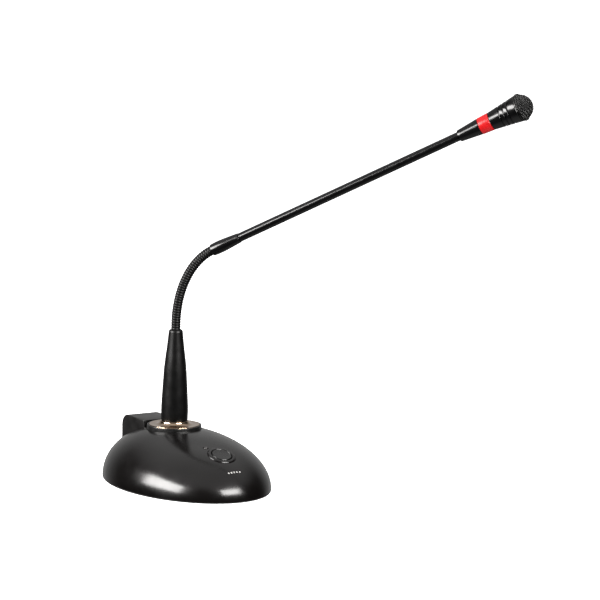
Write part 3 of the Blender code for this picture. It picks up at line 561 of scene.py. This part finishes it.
def foot():
    """The rubber mat: rounded edge, and shallow ribs on its underside between the screw wells."""
    low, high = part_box("base_mat")
    centre = (low.x + high.x) / 2
    half_length = (high.x - low.x) / 2
    half_width = (high.y - low.y) / 2
    top = high.z
    sides = 160
    profile = [(0.0, top)]
    profile += [(0.985, top), (0.997, top - 0.1 * MM), (1.0, top - 0.3 * MM), (1.0, 0.35 * MM),
                (0.997, 0.1 * MM), (0.99, 0.0)]
    for share in (0.955, 0.9, 0.845, 0.79):
        profile += [(share + 0.006, 0.0), (share, 0.3 * MM), (share - 0.012, 0.3 * MM), (share - 0.018, 0.0)]
    profile += [(0.0, 0.0)]
    maker = bmesh.new()
    rings = []
    for share, height in profile:
        if share == 0.0:
            rings.append([maker.verts.new((centre, 0.0, height))])
            continue
        rings.append([maker.verts.new((centre + half_length * share * math.cos(math.tau * side / sides),
                                       half_width * share * math.sin(math.tau * side / sides), height))
                      for side in range(sides)])
    for lower, upper in zip(rings, rings[1:]):
        for side in range(sides):
            after = (side + 1) % sides
            if len(lower) == 1:
                maker.faces.new((lower[0], upper[after], upper[side]))
            elif len(upper) == 1:
                maker.faces.new((lower[side], lower[after], upper[0]))
            else:
                maker.faces.new((lower[side], lower[after], upper[after], upper[side]))
    mat = placed_object("rubber_foot", maker, "rubber")
    for name in SCREW_NODES:
        spot = Matrix.Translation((node_centre(name).x, node_centre(name).y, 0.0))
        carve(mat, round_tool("well", 4.0 * MM, -1.0 * MM, 3.0 * MM, spot, 40))
    piece(mat, "base", "black_rubber", "base_mat")


SCREW_NODES = [f"base_screw_{number}" for number in range(1, 5)] + ["ballast_screw_1", "ballast_screw_2"]


def screw(node, placed, head_radius, coat, slot, thickness=1.05 * MM):
    """A screw with a low domed head and a cross recess. Local Z points out of the head."""
    low, high, reach = span(node, placed)
    rim = high - thickness * 0.43
    underside = high - thickness
    shank = reach * 0.45
    outline = [(0.0, low), (shank * 0.7, low), (shank, low + 0.6 * MM), (shank, underside),
               (reach, underside), (reach, rim)]
    outline += [(reach * math.cos(math.radians(turn)) ** 0.7, rim + (high - rim) * math.sin(math.radians(turn)))
                for turn in (20, 40, 60, 78)] + [(0.0, high)]
    made = turned(f"{node}_head", outline, coat, placed, 40)
    arm = head_radius * 0.52
    thin = head_radius * 0.12
    for turn in (35, 125):
        tool = box_tool("recess", (-arm, -thin, high - thickness * 0.5), (arm, thin, high + MM),
                        placed @ Matrix.Rotation(math.radians(turn), 4, "Z"))
        carve(made, tool)
    piece(made, "base", slot, node)


def floor_screws():
    for name in SCREW_NODES:
        spot = node_centre(name)
        placed = axis_frame(Vector((spot.x, spot.y, 0.0)), -UP, Vector((0.0, 1.0, 0.0)))
        screw(name, placed, 3.0 * MM, "zinc", "zinc_steel")


def housing():
    """The box behind the stem, with rounded edges, an open bottom and a bored rear face."""
    low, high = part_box("rear_housing")
    edge = 9.3 * MM
    wall = 2.2 * MM
    upright = Matrix(((1, 0, 0, 0), (0, 0, -1, 0), (0, 1, 0, 0), (0, 0, 0, 1)))
    centre = (low.x + edge, high.z - edge)
    curve = [(centre[0] + edge * math.cos(math.radians(turn)), centre[1] + edge * math.sin(math.radians(turn)))
             for turn in range(90, 181, 5)]
    outline = [(high.x, low.z), (high.x, high.z)] + curve + [(low.x, low.z)]
    maker = bmesh.new()
    face = maker.faces.new([maker.verts.new((x, y, low.y)) for x, y in outline])
    grown = bmesh.ops.extrude_face_region(maker, geom=[face])
    lifted = [item for item in grown["geom"] if isinstance(item, bmesh.types.BMVert)]
    bmesh.ops.translate(maker, vec=(0, 0, high.y - low.y), verts=lifted)
    edges = [edge for edge in maker.edges if len(edge.link_faces) == 2
             and edge.calc_face_angle(0.0) > math.radians(50)]
    bmesh.ops.bevel(maker, geom=edges, offset=0.7 * MM, segments=4, affect="EDGES", profile=0.5)
    made = placed_object("housing_cover", maker, "housing", upright)
    hollow = box_tool("hollow", (low.x + wall, low.y + wall, -0.01),
                      (high.x - wall, high.y - wall, high.z - edge))
    carve(made, hollow)
    carve(made, round_tool("bore", 11.4 * MM, -0.006, 0.006, connector_frame()))
    piece(made, "base", "black_abs", "rear_housing")


def connector_frame():
    """The output connector's frame: local Z points out of the housing's rear face."""
    centre = node_centre("connector_insert")
    return axis_frame(Vector((node_low("rear_housing").x, centre.y, centre.z)), Vector((-1.0, 0.0, 0.0)),
                      Vector((0.0, 0.0, 1.0)))


def connector():
    """The output connector: flange and barrel, a keyed bore, the insert, the pins and the two screws."""
    placed = connector_frame()
    low, high, _ = span("connector_shell", placed)
    half = (node_high("connector_shell").y - node_low("connector_shell").y) / 2
    flange_low = 0.3 * MM
    corner = 2.6 * MM
    outline = []
    for quarter, (x, y) in enumerate(((1, 1), (-1, 1), (-1, -1), (1, -1))):
        for step in range(7):
            angle = math.radians(90 * quarter + 15 * step)
            outline.append((x * (half - corner) + corner * math.cos(angle),
                            y * (half - corner) + corner * math.sin(angle)))
    shell = extruded("socket_shell", outline, flange_low, high, "zinc", placed, 0.25 * MM)
    carve(shell, round_tool("bore", 9.3 * MM, -0.03, 0.01, placed, 80))
    for node in ("connector_screw_1", "connector_screw_2"):
        spot = placed.copy()
        spot.translation = Vector((placed.translation.x, node_centre(node).y, node_centre(node).z))
        carve(shell, round_tool("screw_hole", 1.5 * MM, -0.01, 0.01, spot, 32))
        carve(shell, round_tool("screw_seat", 2.5 * MM, high - 0.9 * MM, 0.01, spot, 40))
    barrel = turned("barrel", rounded([(9.3 * MM, low), (11.0 * MM, low), (11.0 * MM, flange_low + 0.2 * MM),
                                       (9.3 * MM, flange_low + 0.2 * MM)], 0.3 * MM), None, placed, 80)
    lip = turned("lip", rounded([(9.3 * MM, high - 0.6 * MM), (10.1 * MM, high - 0.6 * MM), (10.1 * MM, high),
                                 (9.3 * MM, high)], 0.2 * MM), None, placed, 80)
    key = box_tool("key", (-1.1 * MM, 8.2 * MM, -11.0 * MM), (1.1 * MM, 9.4 * MM, high - 1.5 * MM), placed)
    join(shell, barrel, lip, key)
    piece(shell, "base", "zinc_steel", "connector_shell")
    bottom, top, reach = span("connector_insert", placed)
    face = rounded([(0.0, bottom), (reach, bottom), (reach, top), (reach - 1.2 * MM, top),
                    (reach - 1.4 * MM, top - 0.5 * MM), (0.0, top - 0.5 * MM)], 0.25 * MM)
    insert = turned("socket_insert", face, "nylon", placed, 72)
    piece(insert, "base", "dark_nylon", "connector_insert")
    for number in range(1, 4):
        node = f"connector_pin_{number}"
        spot = placed.copy()
        spot.translation = Vector((placed.translation.x, node_centre(node).y, node_centre(node).z))
        foot_end, tip, radius = span(node, spot)
        outline = [(0.0, foot_end), (radius, foot_end), (radius, tip - 1.2 * MM)]
        for turn in (20, 40, 60, 78):
            angle = math.radians(turn)
            outline.append((radius * math.cos(angle), tip - 1.2 * MM + 1.2 * MM * math.sin(angle)))
        outline.append((0.0, tip))
        pin = turned(f"socket_pin_{number}", outline, "silver", spot, 32)
        piece(pin, "base", "silver_plate", node)
    for node in ("connector_screw_1", "connector_screw_2"):
        spot = placed.copy()
        spot.translation = Vector((placed.translation.x, node_centre(node).y, node_centre(node).z))
        screw(node, spot, 2.1 * MM, "dark_screw", "black_steel", 0.5 * MM)


def button_parts():
    placed = surface_frame(BUTTON_X, 0.0)
    low, high, reach = span("button_bezel", placed)
    inner = 8.7 * MM
    ring = smooth_run([(reach - 0.15 * MM, -0.35 * MM), (reach - 0.6 * MM, 0.15 * MM),
                       (reach - 1.3 * MM, 0.38 * MM), (inner + 0.7 * MM, 0.45 * MM),
                       (inner + 0.3 * MM, 0.38 * MM), (inner, 0.0)], 6)
    outline = [(inner, low), (reach, low), (reach, -0.6 * MM)] + ring
    bezel = turned("button_ring", outline, "dome", placed, 112)
    piece(bezel, "base", "black_abs", "button_bezel")
    low, high, _ = span("talk_button", placed)
    radius = 8.2 * MM
    crown = smooth_run([(radius, 0.0), (radius - 0.1 * MM, 0.4 * MM), (radius - 0.6 * MM, 0.74 * MM),
                        (radius - 1.5 * MM, 0.7 * MM), (radius * 0.5, 0.52 * MM), (0.0, 0.44 * MM)], 7)
    outline = [(0.0, low), (2.5 * MM, low), (2.5 * MM, -3.8 * MM), (9.6 * MM, -3.8 * MM),
               (9.6 * MM, -2.95 * MM), (radius, -2.95 * MM)] + crown
    cap = turned("button_cap", outline, "button", placed, 96)
    piece(cap, "button", "button_black", "talk_button")
    lamp = surface_frame(LAMP_X, LAMP_Y)
    low, high, radius = span("status_lamp", lamp)
    dome = [(radius * math.cos(math.radians(turn)), high * math.sin(math.radians(turn)))
            for turn in (0, 15, 30, 45, 60, 75)]
    lens = turned("lamp_lens", [(0.0, low), (radius, low)] + dome + [(0.0, high)], "lens", lamp, 40)
    piece(lens, "base", "smoked_lens", "status_lamp")


def printed_marks():
    """A row of short dashes printed on the slope in front of the button."""
    dashes = [(place * 2.6, 1.2, 2.2) for place in range(-2, 3)]
    maker = bmesh.new()
    thickness = 0.05 * MM
    for middle, width, height in dashes:
        columns = 5
        layers = []
        for lift in (0.0, thickness):
            grid = []
            for row in (-0.5, 0.5):
                line = []
                for column in range(columns):
                    y = (middle + width * (column / (columns - 1) - 0.5)) * MM
                    x = MARK_X - row * height * MM * 0.55
                    line.append(maker.verts.new((x, y, dome_height(x, y) + lift)))
                grid.append(line)
            layers.append(grid)
        below, above = layers
        for column in range(columns - 1):
            for grid in layers:
                maker.faces.new((grid[0][column], grid[0][column + 1], grid[1][column + 1], grid[1][column]))
            for row in (0, 1):
                maker.faces.new((below[row][column], below[row][column + 1], above[row][column + 1],
                                 above[row][column]))
        for column in (0, columns - 1):
            maker.faces.new((below[0][column], below[1][column], above[1][column], above[0][column]))
    marks = placed_object("printed_dashes", maker, "print")
    piece(marks, "base", "black_abs")


# ---------------------------------------------------------------- collar and stem

def collar():
    low, high, reach = span("collar_gasket", Matrix.Identity(4))
    flange = span("collar_flange", Matrix.Identity(4))
    seat = flange[2] + 0.3 * MM
    outline = rounded([(6.6 * MM, low), (reach, low), (reach, high), (seat, high), (seat, high - 1.5 * MM),
                       (6.6 * MM, high - 1.5 * MM)], 0.55 * MM)
    ring = turned("collar_seat", outline, "seat", sides=120)
    piece(ring, "base", "black_rubber", "collar_gasket")
    hub_top = flange[1]
    disc_top = high + 0.3 * MM
    radius = flange[2]
    top = [(radius, disc_top - 1.3 * MM), (radius, disc_top - 0.45 * MM),
           (radius - 0.15 * MM, disc_top - 0.15 * MM), (radius - 0.6 * MM, disc_top),
           (16.6 * MM, disc_top - 0.1 * MM), (14.6 * MM, disc_top + 0.1 * MM),
           (13.1 * MM, disc_top + 0.75 * MM), (12.2 * MM, disc_top + 1.7 * MM),
           (11.75 * MM, hub_top - 0.25 * MM),
           (11.4 * MM, hub_top)]
    outline = [(4.7 * MM, flange[0]), (6.2 * MM, flange[0]), (6.2 * MM, disc_top - 1.5 * MM),
               (radius - 0.2 * MM, disc_top - 1.5 * MM)] + smooth_run(top, 7) + [(4.7 * MM, hub_top)]
    disc = turned("collar_disc", outline, "champagne", sides=144)
    piece(disc, "base", "polished_gold_chrome", "collar_flange")


def sleeve():
    low, high, reach = span("stem_sleeve", Matrix.Identity(4))
    height = high - low
    taper = [(11.15, 0.012), (11.35, 0.1), (11.1, 0.21), (10.6, 0.33), (10.0, 0.46), (9.3, 0.59), (8.45, 0.69),
             (7.5, 0.787), (6.7, 0.88), (5.95, 0.975)]
    side = smooth_run([(radius * MM, low + share * height) for radius, share in taper], 7)
    outline = [(4.7 * MM, low), (10.8 * MM, low), (11.05 * MM, low + 0.15 * MM)] + side
    outline += [(5.8 * MM, high - 0.9 * MM), (5.35 * MM, high - 0.3 * MM), (4.95 * MM, high), (4.55 * MM, high),
                (4.45 * MM, high - 0.3 * MM), (4.45 * MM, high - 4.0 * MM), (4.7 * MM, high - 4.0 * MM)]
    made = turned("stem_cover", outline, "sleeve", sides=120)
    piece(made, "base", "black_lacquer", "stem_sleeve")


# ---------------------------------------------------------------- neck

def neck_path():
    """Centreline of the neck from inside the sleeve to the ferrule, with where each bend piece ends."""
    top = node_high("stem_sleeve").z
    first = (JOINT_SPOTS[1] - JOINT_SPOTS[0]).length / 2
    middles = [JOINT_SPOTS[0] - UP * first]
    middles += [(a + b) / 2 for a, b in zip(JOINT_SPOTS, JOINT_SPOTS[1:])]
    end = span("boom_coupler", ARM)[0]
    middles.append(ARM_SPOT + ARM_DIRECTION * (end + 0.4 * MM))
    runs = []
    for number, joint in enumerate(JOINT_SPOTS):
        start, stop = middles[number], middles[number + 1]
        run = []
        steps = 90
        for step in range(steps + 1):
            t = step / steps
            run.append(((1 - t) ** 2 * start + 2 * t * (1 - t) * joint + t ** 2 * stop,
                        ((1 - t) * (joint - start) + t * (stop - joint)).normalized()))
        if number == 0:
            base = Vector((0.0, 0.0, top - 3.0 * MM))
            lead = [(base + (start - base) * (step / 80), UP) for step in range(80)]
            run = lead + run
        runs.append(run)
    return runs, middles


def coil_radius(phase, outer):
    """Radius of the wound wire at a phase of its pitch: round crests and narrow grooves."""
    across = 2 * (phase % 1.0) - 1
    return outer - COIL_DEPTH + COIL_DEPTH * math.sqrt(max(0.0, 1 - abs(across) ** 2.4))


def neck_coil():
    runs, middles = neck_path()
    nodes = [["neck_root"], *[[f"neck_link_{number}"] for number in range(1, 8)]]
    nodes[-1].append("neck_end")
    outer = 4.0 * MM
    sides = 44
    length = 0.0
    for number, run in enumerate(runs):
        maker = bmesh.new()
        rings = []
        before = run[0][0]
        for point, tangent in dense(run, COIL_PITCH / 11):
            length += (point - before).length
            before = point
            across = BEND_AXIS.cross(tangent).normalized()
            ring = []
            for side in range(sides):
                share = side / sides
                radius = coil_radius(length / COIL_PITCH + share, outer)
                ring.append(maker.verts.new(point + radius * (math.cos(math.tau * share) * across
                                                              + math.sin(math.tau * share) * BEND_AXIS)))
            rings.append(ring)
        for lower, upper in zip(rings, rings[1:]):
            for side in range(sides):
                after = (side + 1) % sides
                maker.faces.new((lower[side], lower[after], upper[after], upper[side]))
        maker.faces.new(rings[0])
        maker.faces.new(rings[-1])
        coil = placed_object(f"neck_coil_{number + 1}", maker, "neck", sharp=70.0)
        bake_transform(coil)
        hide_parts(*nodes[number])


def dense(run, step):
    """Points and tangents spread evenly along a run, both ends included."""
    total = sum((b[0] - a[0]).length for a, b in zip(run, run[1:]))
    count = max(2, round(total / step))
    made = [run[0]]
    walked = 0.0
    wanted = total / count
    for a, b in zip(run, run[1:]):
        reach = (b[0] - a[0]).length
        while walked + reach >= wanted - 1e-12 and len(made) < count:
            share = (wanted - walked) / reach if reach else 0.0
            made.append((a[0].lerp(b[0], share), a[1].lerp(b[1], share).normalized()))
            wanted = total * len(made) / count
        walked += reach
    made.append(run[-1])
    return made


# ---------------------------------------------------------------- boom and head

def boom():
    low, high, reach = span("boom_coupler", ARM)
    nose = span("boom_tube", ARM)[0] - 0.3 * MM
    outer = [(4.25 * MM, low), (4.6 * MM, low + 0.25 * MM), (4.95 * MM, low + 1.0 * MM),
             (5.2 * MM, low + 6.0 * MM),
             (5.15 * MM, low + 11.0 * MM), (4.75 * MM, low + 17.0 * MM), (4.3 * MM, nose - 3.0 * MM),
             (4.1 * MM, nose - 0.5 * MM), (3.9 * MM, nose)]
    outline = [(3.0 * MM, low)] + smooth_run(outer, 7)
    outline += [(2.6 * MM, nose), (2.6 * MM, high), (1.5 * MM, high), (1.5 * MM, low + 9.0 * MM),
                (3.0 * MM, low + 9.0 * MM)]
    ferrule = turned("boom_ferrule", outline, "lacquer", ARM, 72)
    piece(ferrule, "arm", "black_lacquer", "boom_coupler")
    low, high, radius = span("boom_tube", ARM)
    outline = [(2.9 * MM, low), (radius - 0.2 * MM, low), (radius, low + 0.2 * MM)]
    outline += [(radius, low + (high - low) * step / 24) for step in range(1, 24)]
    outline += [(radius, high - 0.2 * MM), (radius - 0.2 * MM, high), (2.9 * MM, high)]
    pipe = turned("boom_pipe", outline, "lacquer", ARM, 72)
    piece(pipe, "arm", "black_lacquer_steel", "boom_tube")


def head_rear():
    end = span("head_tail", ARM)[1]
    start = span("boom_tube", ARM)[1] + 0.3 * MM
    outer = [(4.3 * MM, start), (4.7 * MM, start + 0.2 * MM), (4.95 * MM, start + 0.9 * MM)]
    for step in range(1, 9):
        share = step / 8
        outer.append((4.95 * MM + (6.8 * MM - 4.95 * MM) * share,
                      start + 0.9 * MM + (end - start - 1.1 * MM) * share))
    outline = [(2.6 * MM, start - 10.0 * MM), (2.6 * MM, start)] + outer
    outline += [(6.6 * MM, end), (6.0 * MM, end), (4.6 * MM, end - 2.0 * MM), (4.6 * MM, end - 8.0 * MM),
                (1.5 * MM, end - 8.0 * MM), (1.5 * MM, start - 10.0 * MM)]
    tail = turned("head_cone", outline, "lacquer", ARM, 80)
    piece(tail, "arm", "black_lacquer", "head_tail")
    low, high, reach = span("light_ring", ARM)
    outline = rounded([(4.5 * MM, low), (6.75 * MM, low), (6.95 * MM, low + 0.2 * MM),
                       (reach, high - 0.25 * MM),
                       (reach - 0.2 * MM, high), (4.5 * MM, high)], 0.15 * MM)
    ring = turned("light_band", outline, "red", ARM, 96)
    piece(ring, "arm", "red_acrylic", "light_ring")


def head_barrel():
    tail, end, reach = span("head_barrel", ARM)
    start = span("light_ring", ARM)[1] + 0.3 * MM
    rear = 7.5 * MM
    length = end - start

    def radius_at(along):
        return rear + (reach - rear) * along / length

    outline = [(2.6 * MM, tail), (4.2 * MM, tail), (4.2 * MM, start), (rear - 0.25 * MM, start),
               (rear, start + 0.25 * MM)]
    for spot in GROOVE_SPOTS:
        for offset, depth in ((-0.62, 0.0), (-0.52, 0.06), (-0.42, 0.45), (-0.3, 0.6), (0.3, 0.6), (0.42, 0.45),
                              (0.52, 0.06), (0.62, 0.0)):
            along = (spot + offset) * MM
            outline.append((radius_at(along) - depth * MM, start + along))
    outline += [(reach, end - 0.3 * MM), (reach - 0.2 * MM, end), (9.4 * MM, end), (9.4 * MM, end - 9.0 * MM),
                (6.4 * MM, end - 9.0 * MM), (6.4 * MM, end - 16.0 * MM), (2.6 * MM, end - 16.0 * MM)]
    barrel = turned("head_body", outline, "lacquer", ARM, 112)
    piece(barrel, "arm", "black_lacquer", "head_barrel")
    low, high, reach = span("trim_ring", ARM)
    outline = rounded([(9.4 * MM, low), (reach, low), (reach, high), (9.4 * MM, high)], 0.2 * MM)
    trim = turned("bright_ring", outline, "nickel", ARM, 112)
    piece(trim, "arm", "bright_nickel", "trim_ring")


def grille_profile():
    """The mesh surface as (radius, height) from the apex back to the rim, evenly spaced."""
    low, high, reach = span("grille", ARM)
    inset = WEAVE_LIFT + WIRE_RADIUS + 0.08 * MM
    centre = low + 0.7 * MM
    ball = high - inset - centre
    shoulder = 20.0
    points = [(0.0, centre + ball)]
    points += [(ball * math.cos(math.radians(turn)), centre + ball * math.sin(math.radians(turn)))
               for turn in range(87, int(shoulder), -3)]
    skirt = reach - inset
    points += [(skirt - 1.15 * MM, low + 3.7 * MM), (skirt - 0.5 * MM, low + 3.05 * MM),
               (skirt - 0.08 * MM, low + 2.35 * MM), (skirt, low + 1.4 * MM),
               (skirt - 0.15 * MM, low + 0.7 * MM)]
    return evenly(smooth_run(points, 6), 0.1 * MM)


def evenly(points, step):
    made = [points[0]]
    carried = 0.0
    for a, b in zip(points, points[1:]):
        reach = math.dist(a, b)
        if not reach:
            continue
        place = step - carried
        while place <= reach:
            share = place / reach
            made.append((a[0] + (b[0] - a[0]) * share, a[1] + (b[1] - a[1]) * share))
            place += step
        carried = reach - (place - step)
    return made


def grille():
    """Woven wire pressed over a dome, the band that grips it and the foam behind it."""
    profile = grille_profile()
    step = 0.1 * MM
    reach = (len(profile) - 1) * step
    half = int(reach / WEAVE_PITCH)
    maker = bmesh.new()
    for across in (0, 1):
        for wire in range(-half, half + 1):
            offset = wire * WEAVE_PITCH
            if abs(offset) > reach * 0.985:
                continue
            limit = math.sqrt(reach ** 2 - offset ** 2)
            count = max(6, int(2 * limit / (0.24 * MM)))
            points = []
            for number in range(count + 1):
                along = -limit + 2 * limit * number / count
                u, v = (along, offset) if across else (offset, along)
                lift = WEAVE_LIFT if across else -WEAVE_LIFT
                wave = math.cos(math.pi * (along / WEAVE_PITCH + wire)) * lift
                points.append(on_grille(profile, step, u, v, wave))
            tube(maker, points, WIRE_RADIUS, 8)
    weave = placed_object("grille_weave", maker, "mesh", sharp=80.0)
    piece(weave, "arm", "black_steel", "grille")
    low = span("grille", ARM)[0]
    band = rounded([(9.6 * MM, low), (10.75 * MM, low), (11.25 * MM, low + 0.3 * MM),
                    (11.3 * MM, low + 0.8 * MM),
                    (10.9 * MM, low + 1.1 * MM), (9.6 * MM, low + 1.1 * MM)], 0.2 * MM)
    clamp = turned("grille_band", band, "neck", ARM, 112)
    piece(clamp, "arm", "black_steel")
    foam_screen()


def on_grille(profile, step, u, v, lift):
    """The place on the mesh surface of a point of the flat sheet, moved outward by a lift."""
    distance = min(math.hypot(u, v) / step, len(profile) - 1.001)
    number = int(distance)
    share = distance - number
    a, b = profile[number], profile[number + 1]
    radius = a[0] + (b[0] - a[0]) * share
    height = a[1] + (b[1] - a[1]) * share
    turn = math.atan2(v, u)
    slope = Vector((b[0] - a[0], b[1] - a[1])).normalized()
    out = Vector((-slope.y, slope.x))
    radius += out.x * lift
    height += out.y * lift
    return ARM @ Vector((radius * math.cos(turn), radius * math.sin(turn), height))


def foam_screen():
    low, high, _ = span("foam_screen", ARM)
    foot_radius = 8.9 * MM
    ball = high - low + 1.5 * MM
    centre = high - ball
    points = [(0.0, low), (foot_radius, low)]
    for turn in range(16, 90, 6):
        angle = math.radians(turn)
        points.append((min(foot_radius, ball * 0.965 * math.cos(angle)), centre + ball * math.sin(angle)))
    points.append((0.0, high))
    foam = turned("foam_liner", rounded(points, 0.6 * MM), "foam", ARM, 72, 60.0)
    piece(foam, "arm", "grey_foam", "foam_screen")


# ---------------------------------------------------------------- carried-over CAD nodes

def carried_nodes():
    """Materials for the CAD nodes that stay, most of them inside."""
    kinds = {
        "base_plate": "zinc", "ballast_weight": "iron", "preamp_board": "board", "switch_board": "board",
        "lamp_board": "board", "board_spacer": "brass", "board_screw": "zinc", "switch_board_screw": "zinc",
        "switch_body": "nylon", "switch_plunger": "grey_switch", "lock_washer": "zinc", "collar_nut": "zinc",
        "stem_tube": "zinc", "mic_lead": "rubber", "capsule_holder": "rubber", "mic_capsule": "aluminium",
    }
    for name, node in frame["nodes"].items():
        if node.hide_render:
            continue
        kind = kinds[name.rstrip("0123456789_")] if name not in kinds else kinds[name]
        if not node.material_slots:
            node.data.materials.append(COATS[kind])
        for material_slot in node.material_slots:
            material_slot.material = COATS[kind]


# ---------------------------------------------------------------- studio

def make_camera():
    look = math.cos(CAMERA_ELEVATION) * VIEW_AWAY - math.sin(CAMERA_ELEVATION) * UP
    lifted = VIEW_RIGHT.cross(look)
    right = VIEW_RIGHT * math.cos(CAMERA_ROLL) + lifted * math.sin(CAMERA_ROLL)
    above = lifted * math.cos(CAMERA_ROLL) - VIEW_RIGHT * math.sin(CAMERA_ROLL)
    data = bpy.data.cameras.new("camera")
    data.lens = CAMERA_LENS
    data.sensor_width = 36.0
    data.clip_start = 0.05
    data.clip_end = 100.0
    camera = bpy.data.objects.new("camera", data)
    bpy.context.collection.objects.link(camera)
    placed = Matrix((right, above, -look)).transposed().to_4x4()
    placed.translation = VIEW_TARGET - look * CAMERA_DISTANCE
    camera.matrix_world = placed
    bpy.context.scene.camera = camera


def softbox(name, direction, distance, width, height, power, aim=Vector((0.0, 0.0, 0.05))):
    """A soft rectangular light in a direction from a point it faces."""
    data = bpy.data.lights.new(name, "AREA")
    data.shape = "RECTANGLE"
    data.size = width
    data.size_y = height
    data.energy = power
    data.color = (1.0, 0.985, 0.97)
    light = bpy.data.objects.new(name, data)
    bpy.context.collection.objects.link(light)
    light.matrix_world = axis_frame(aim + direction.normalized() * distance, direction,
                                    UP.cross(direction).cross(direction) if abs(direction.z) < 0.99 else None)


def toward(side, elevation):
    """A direction given as degrees to the right of the camera, and degrees above the horizon."""
    turn = math.radians(side)
    flat = VIEW_RIGHT * math.sin(turn) - VIEW_AWAY * math.cos(turn)
    lift = math.radians(elevation)
    return flat * math.cos(lift) + UP * math.sin(lift)


def make_world():
    """Pale light from above, from beyond the object and a little from below. The camera sees plain white."""
    world = bpy.data.worlds.new("studio")
    bpy.context.scene.world = world
    world.use_nodes = True
    nodes, links = world.node_tree.nodes, world.node_tree.links
    background = nodes["Background"]
    direction = nodes.new("ShaderNodeTexCoord").outputs["Generated"]

    def facing(vector, low, high):
        dot = nodes.new("ShaderNodeVectorMath")
        dot.operation = "DOT_PRODUCT"
        dot.inputs[1].default_value = vector
        links.new(direction, dot.inputs[0])
        spread = nodes.new("ShaderNodeMapRange")
        spread.interpolation_type = "SMOOTHSTEP"
        spread.inputs["From Min"].default_value = low
        spread.inputs["From Max"].default_value = high
        links.new(dot.outputs["Value"], spread.inputs["Value"])
        return spread.outputs["Result"]

    def sum_of(a, b, factor):
        scaled = nodes.new("ShaderNodeMath")
        scaled.operation = "MULTIPLY_ADD"
        links.new(b, scaled.inputs[0])
        scaled.inputs[1].default_value = factor
        if a is None:
            scaled.inputs[2].default_value = 0.03
        else:
            links.new(a, scaled.inputs[2])
        return scaled.outputs["Value"]

    total = sum_of(None, facing(UP, 0.45, 0.85), 0.8)
    total = sum_of(total, facing(VIEW_AWAY, 0.5, 0.95), 0.45)
    total = sum_of(total, facing(-UP, 0.7, 1.0), 0.35)
    seen = nodes.new("ShaderNodeMix")
    seen.data_type = "FLOAT"
    seen.inputs["B"].default_value = 1.0
    links.new(total, seen.inputs["A"])
    links.new(nodes.new("ShaderNodeLightPath").outputs["Is Camera Ray"], seen.inputs["Factor"])
    links.new(seen.outputs["Result"], background.inputs["Strength"])
    background.inputs["Color"].default_value = (1.0, 0.995, 0.99, 1.0)


def make_floor():
    """A pale floor, clear from below. The object neither mirrors it nor takes light from it."""
    maker = bmesh.new()
    corners = []
    for side in range(64):
        angle = math.tau * side / 64
        corners.append(maker.verts.new((FLOOR_RADIUS * math.cos(angle), FLOOR_RADIUS * math.sin(angle), 0.0)))
    maker.faces.new(corners)
    floor = placed_object("floor", maker, None)
    floor.location.z = -0.0002
    if floor.data.polygons[0].normal.z < 0:
        floor.data.flip_normals()
    floor.visible_glossy = False
    floor.visible_diffuse = False
    coat = bpy.data.materials.new("pale_floor")
    coat.use_nodes = True
    shader = coat.node_tree.nodes["Principled BSDF"]
    shader.inputs["Base Color"].default_value = (0.86, 0.86, 0.86, 1.0)
    shader.inputs["Roughness"].default_value = 0.95
    shader.inputs["Specular IOR Level"].default_value = 0.0
    shader.inputs["Emission Color"].default_value = (1.0, 1.0, 1.0, 1.0)
    shader.inputs["Emission Strength"].default_value = 1.0
    nodes, links = coat.node_tree.nodes, coat.node_tree.links
    clear = nodes.new("ShaderNodeBsdfTransparent")
    sided = nodes.new("ShaderNodeMixShader")
    links.new(nodes.new("ShaderNodeNewGeometry").outputs["Backfacing"], sided.inputs["Fac"])
    links.new(shader.outputs["BSDF"], sided.inputs[1])
    links.new(clear.outputs["BSDF"], sided.inputs[2])
    links.new(sided.outputs["Shader"], nodes["Material Output"].inputs["Surface"])
    floor.data.materials.append(coat)


def make_studio():
    make_camera()
    make_world()
    make_floor()
    softbox("left_softbox", toward(-65.0, 24.0), 1.5, 1.15, 0.62, 62.0)
    softbox("right_softbox", toward(43.0, 28.0), 1.5, 0.95, 0.5, 40.0)
    bpy.context.scene.view_settings.view_transform = "Standard"


make_studio()
dome_cover()
foot()
floor_screws()
housing()
connector()
button_parts()
printed_marks()
collar()
sleeve()
neck_coil()
boom()
head_rear()
head_barrel()
grille()
carried_nodes()
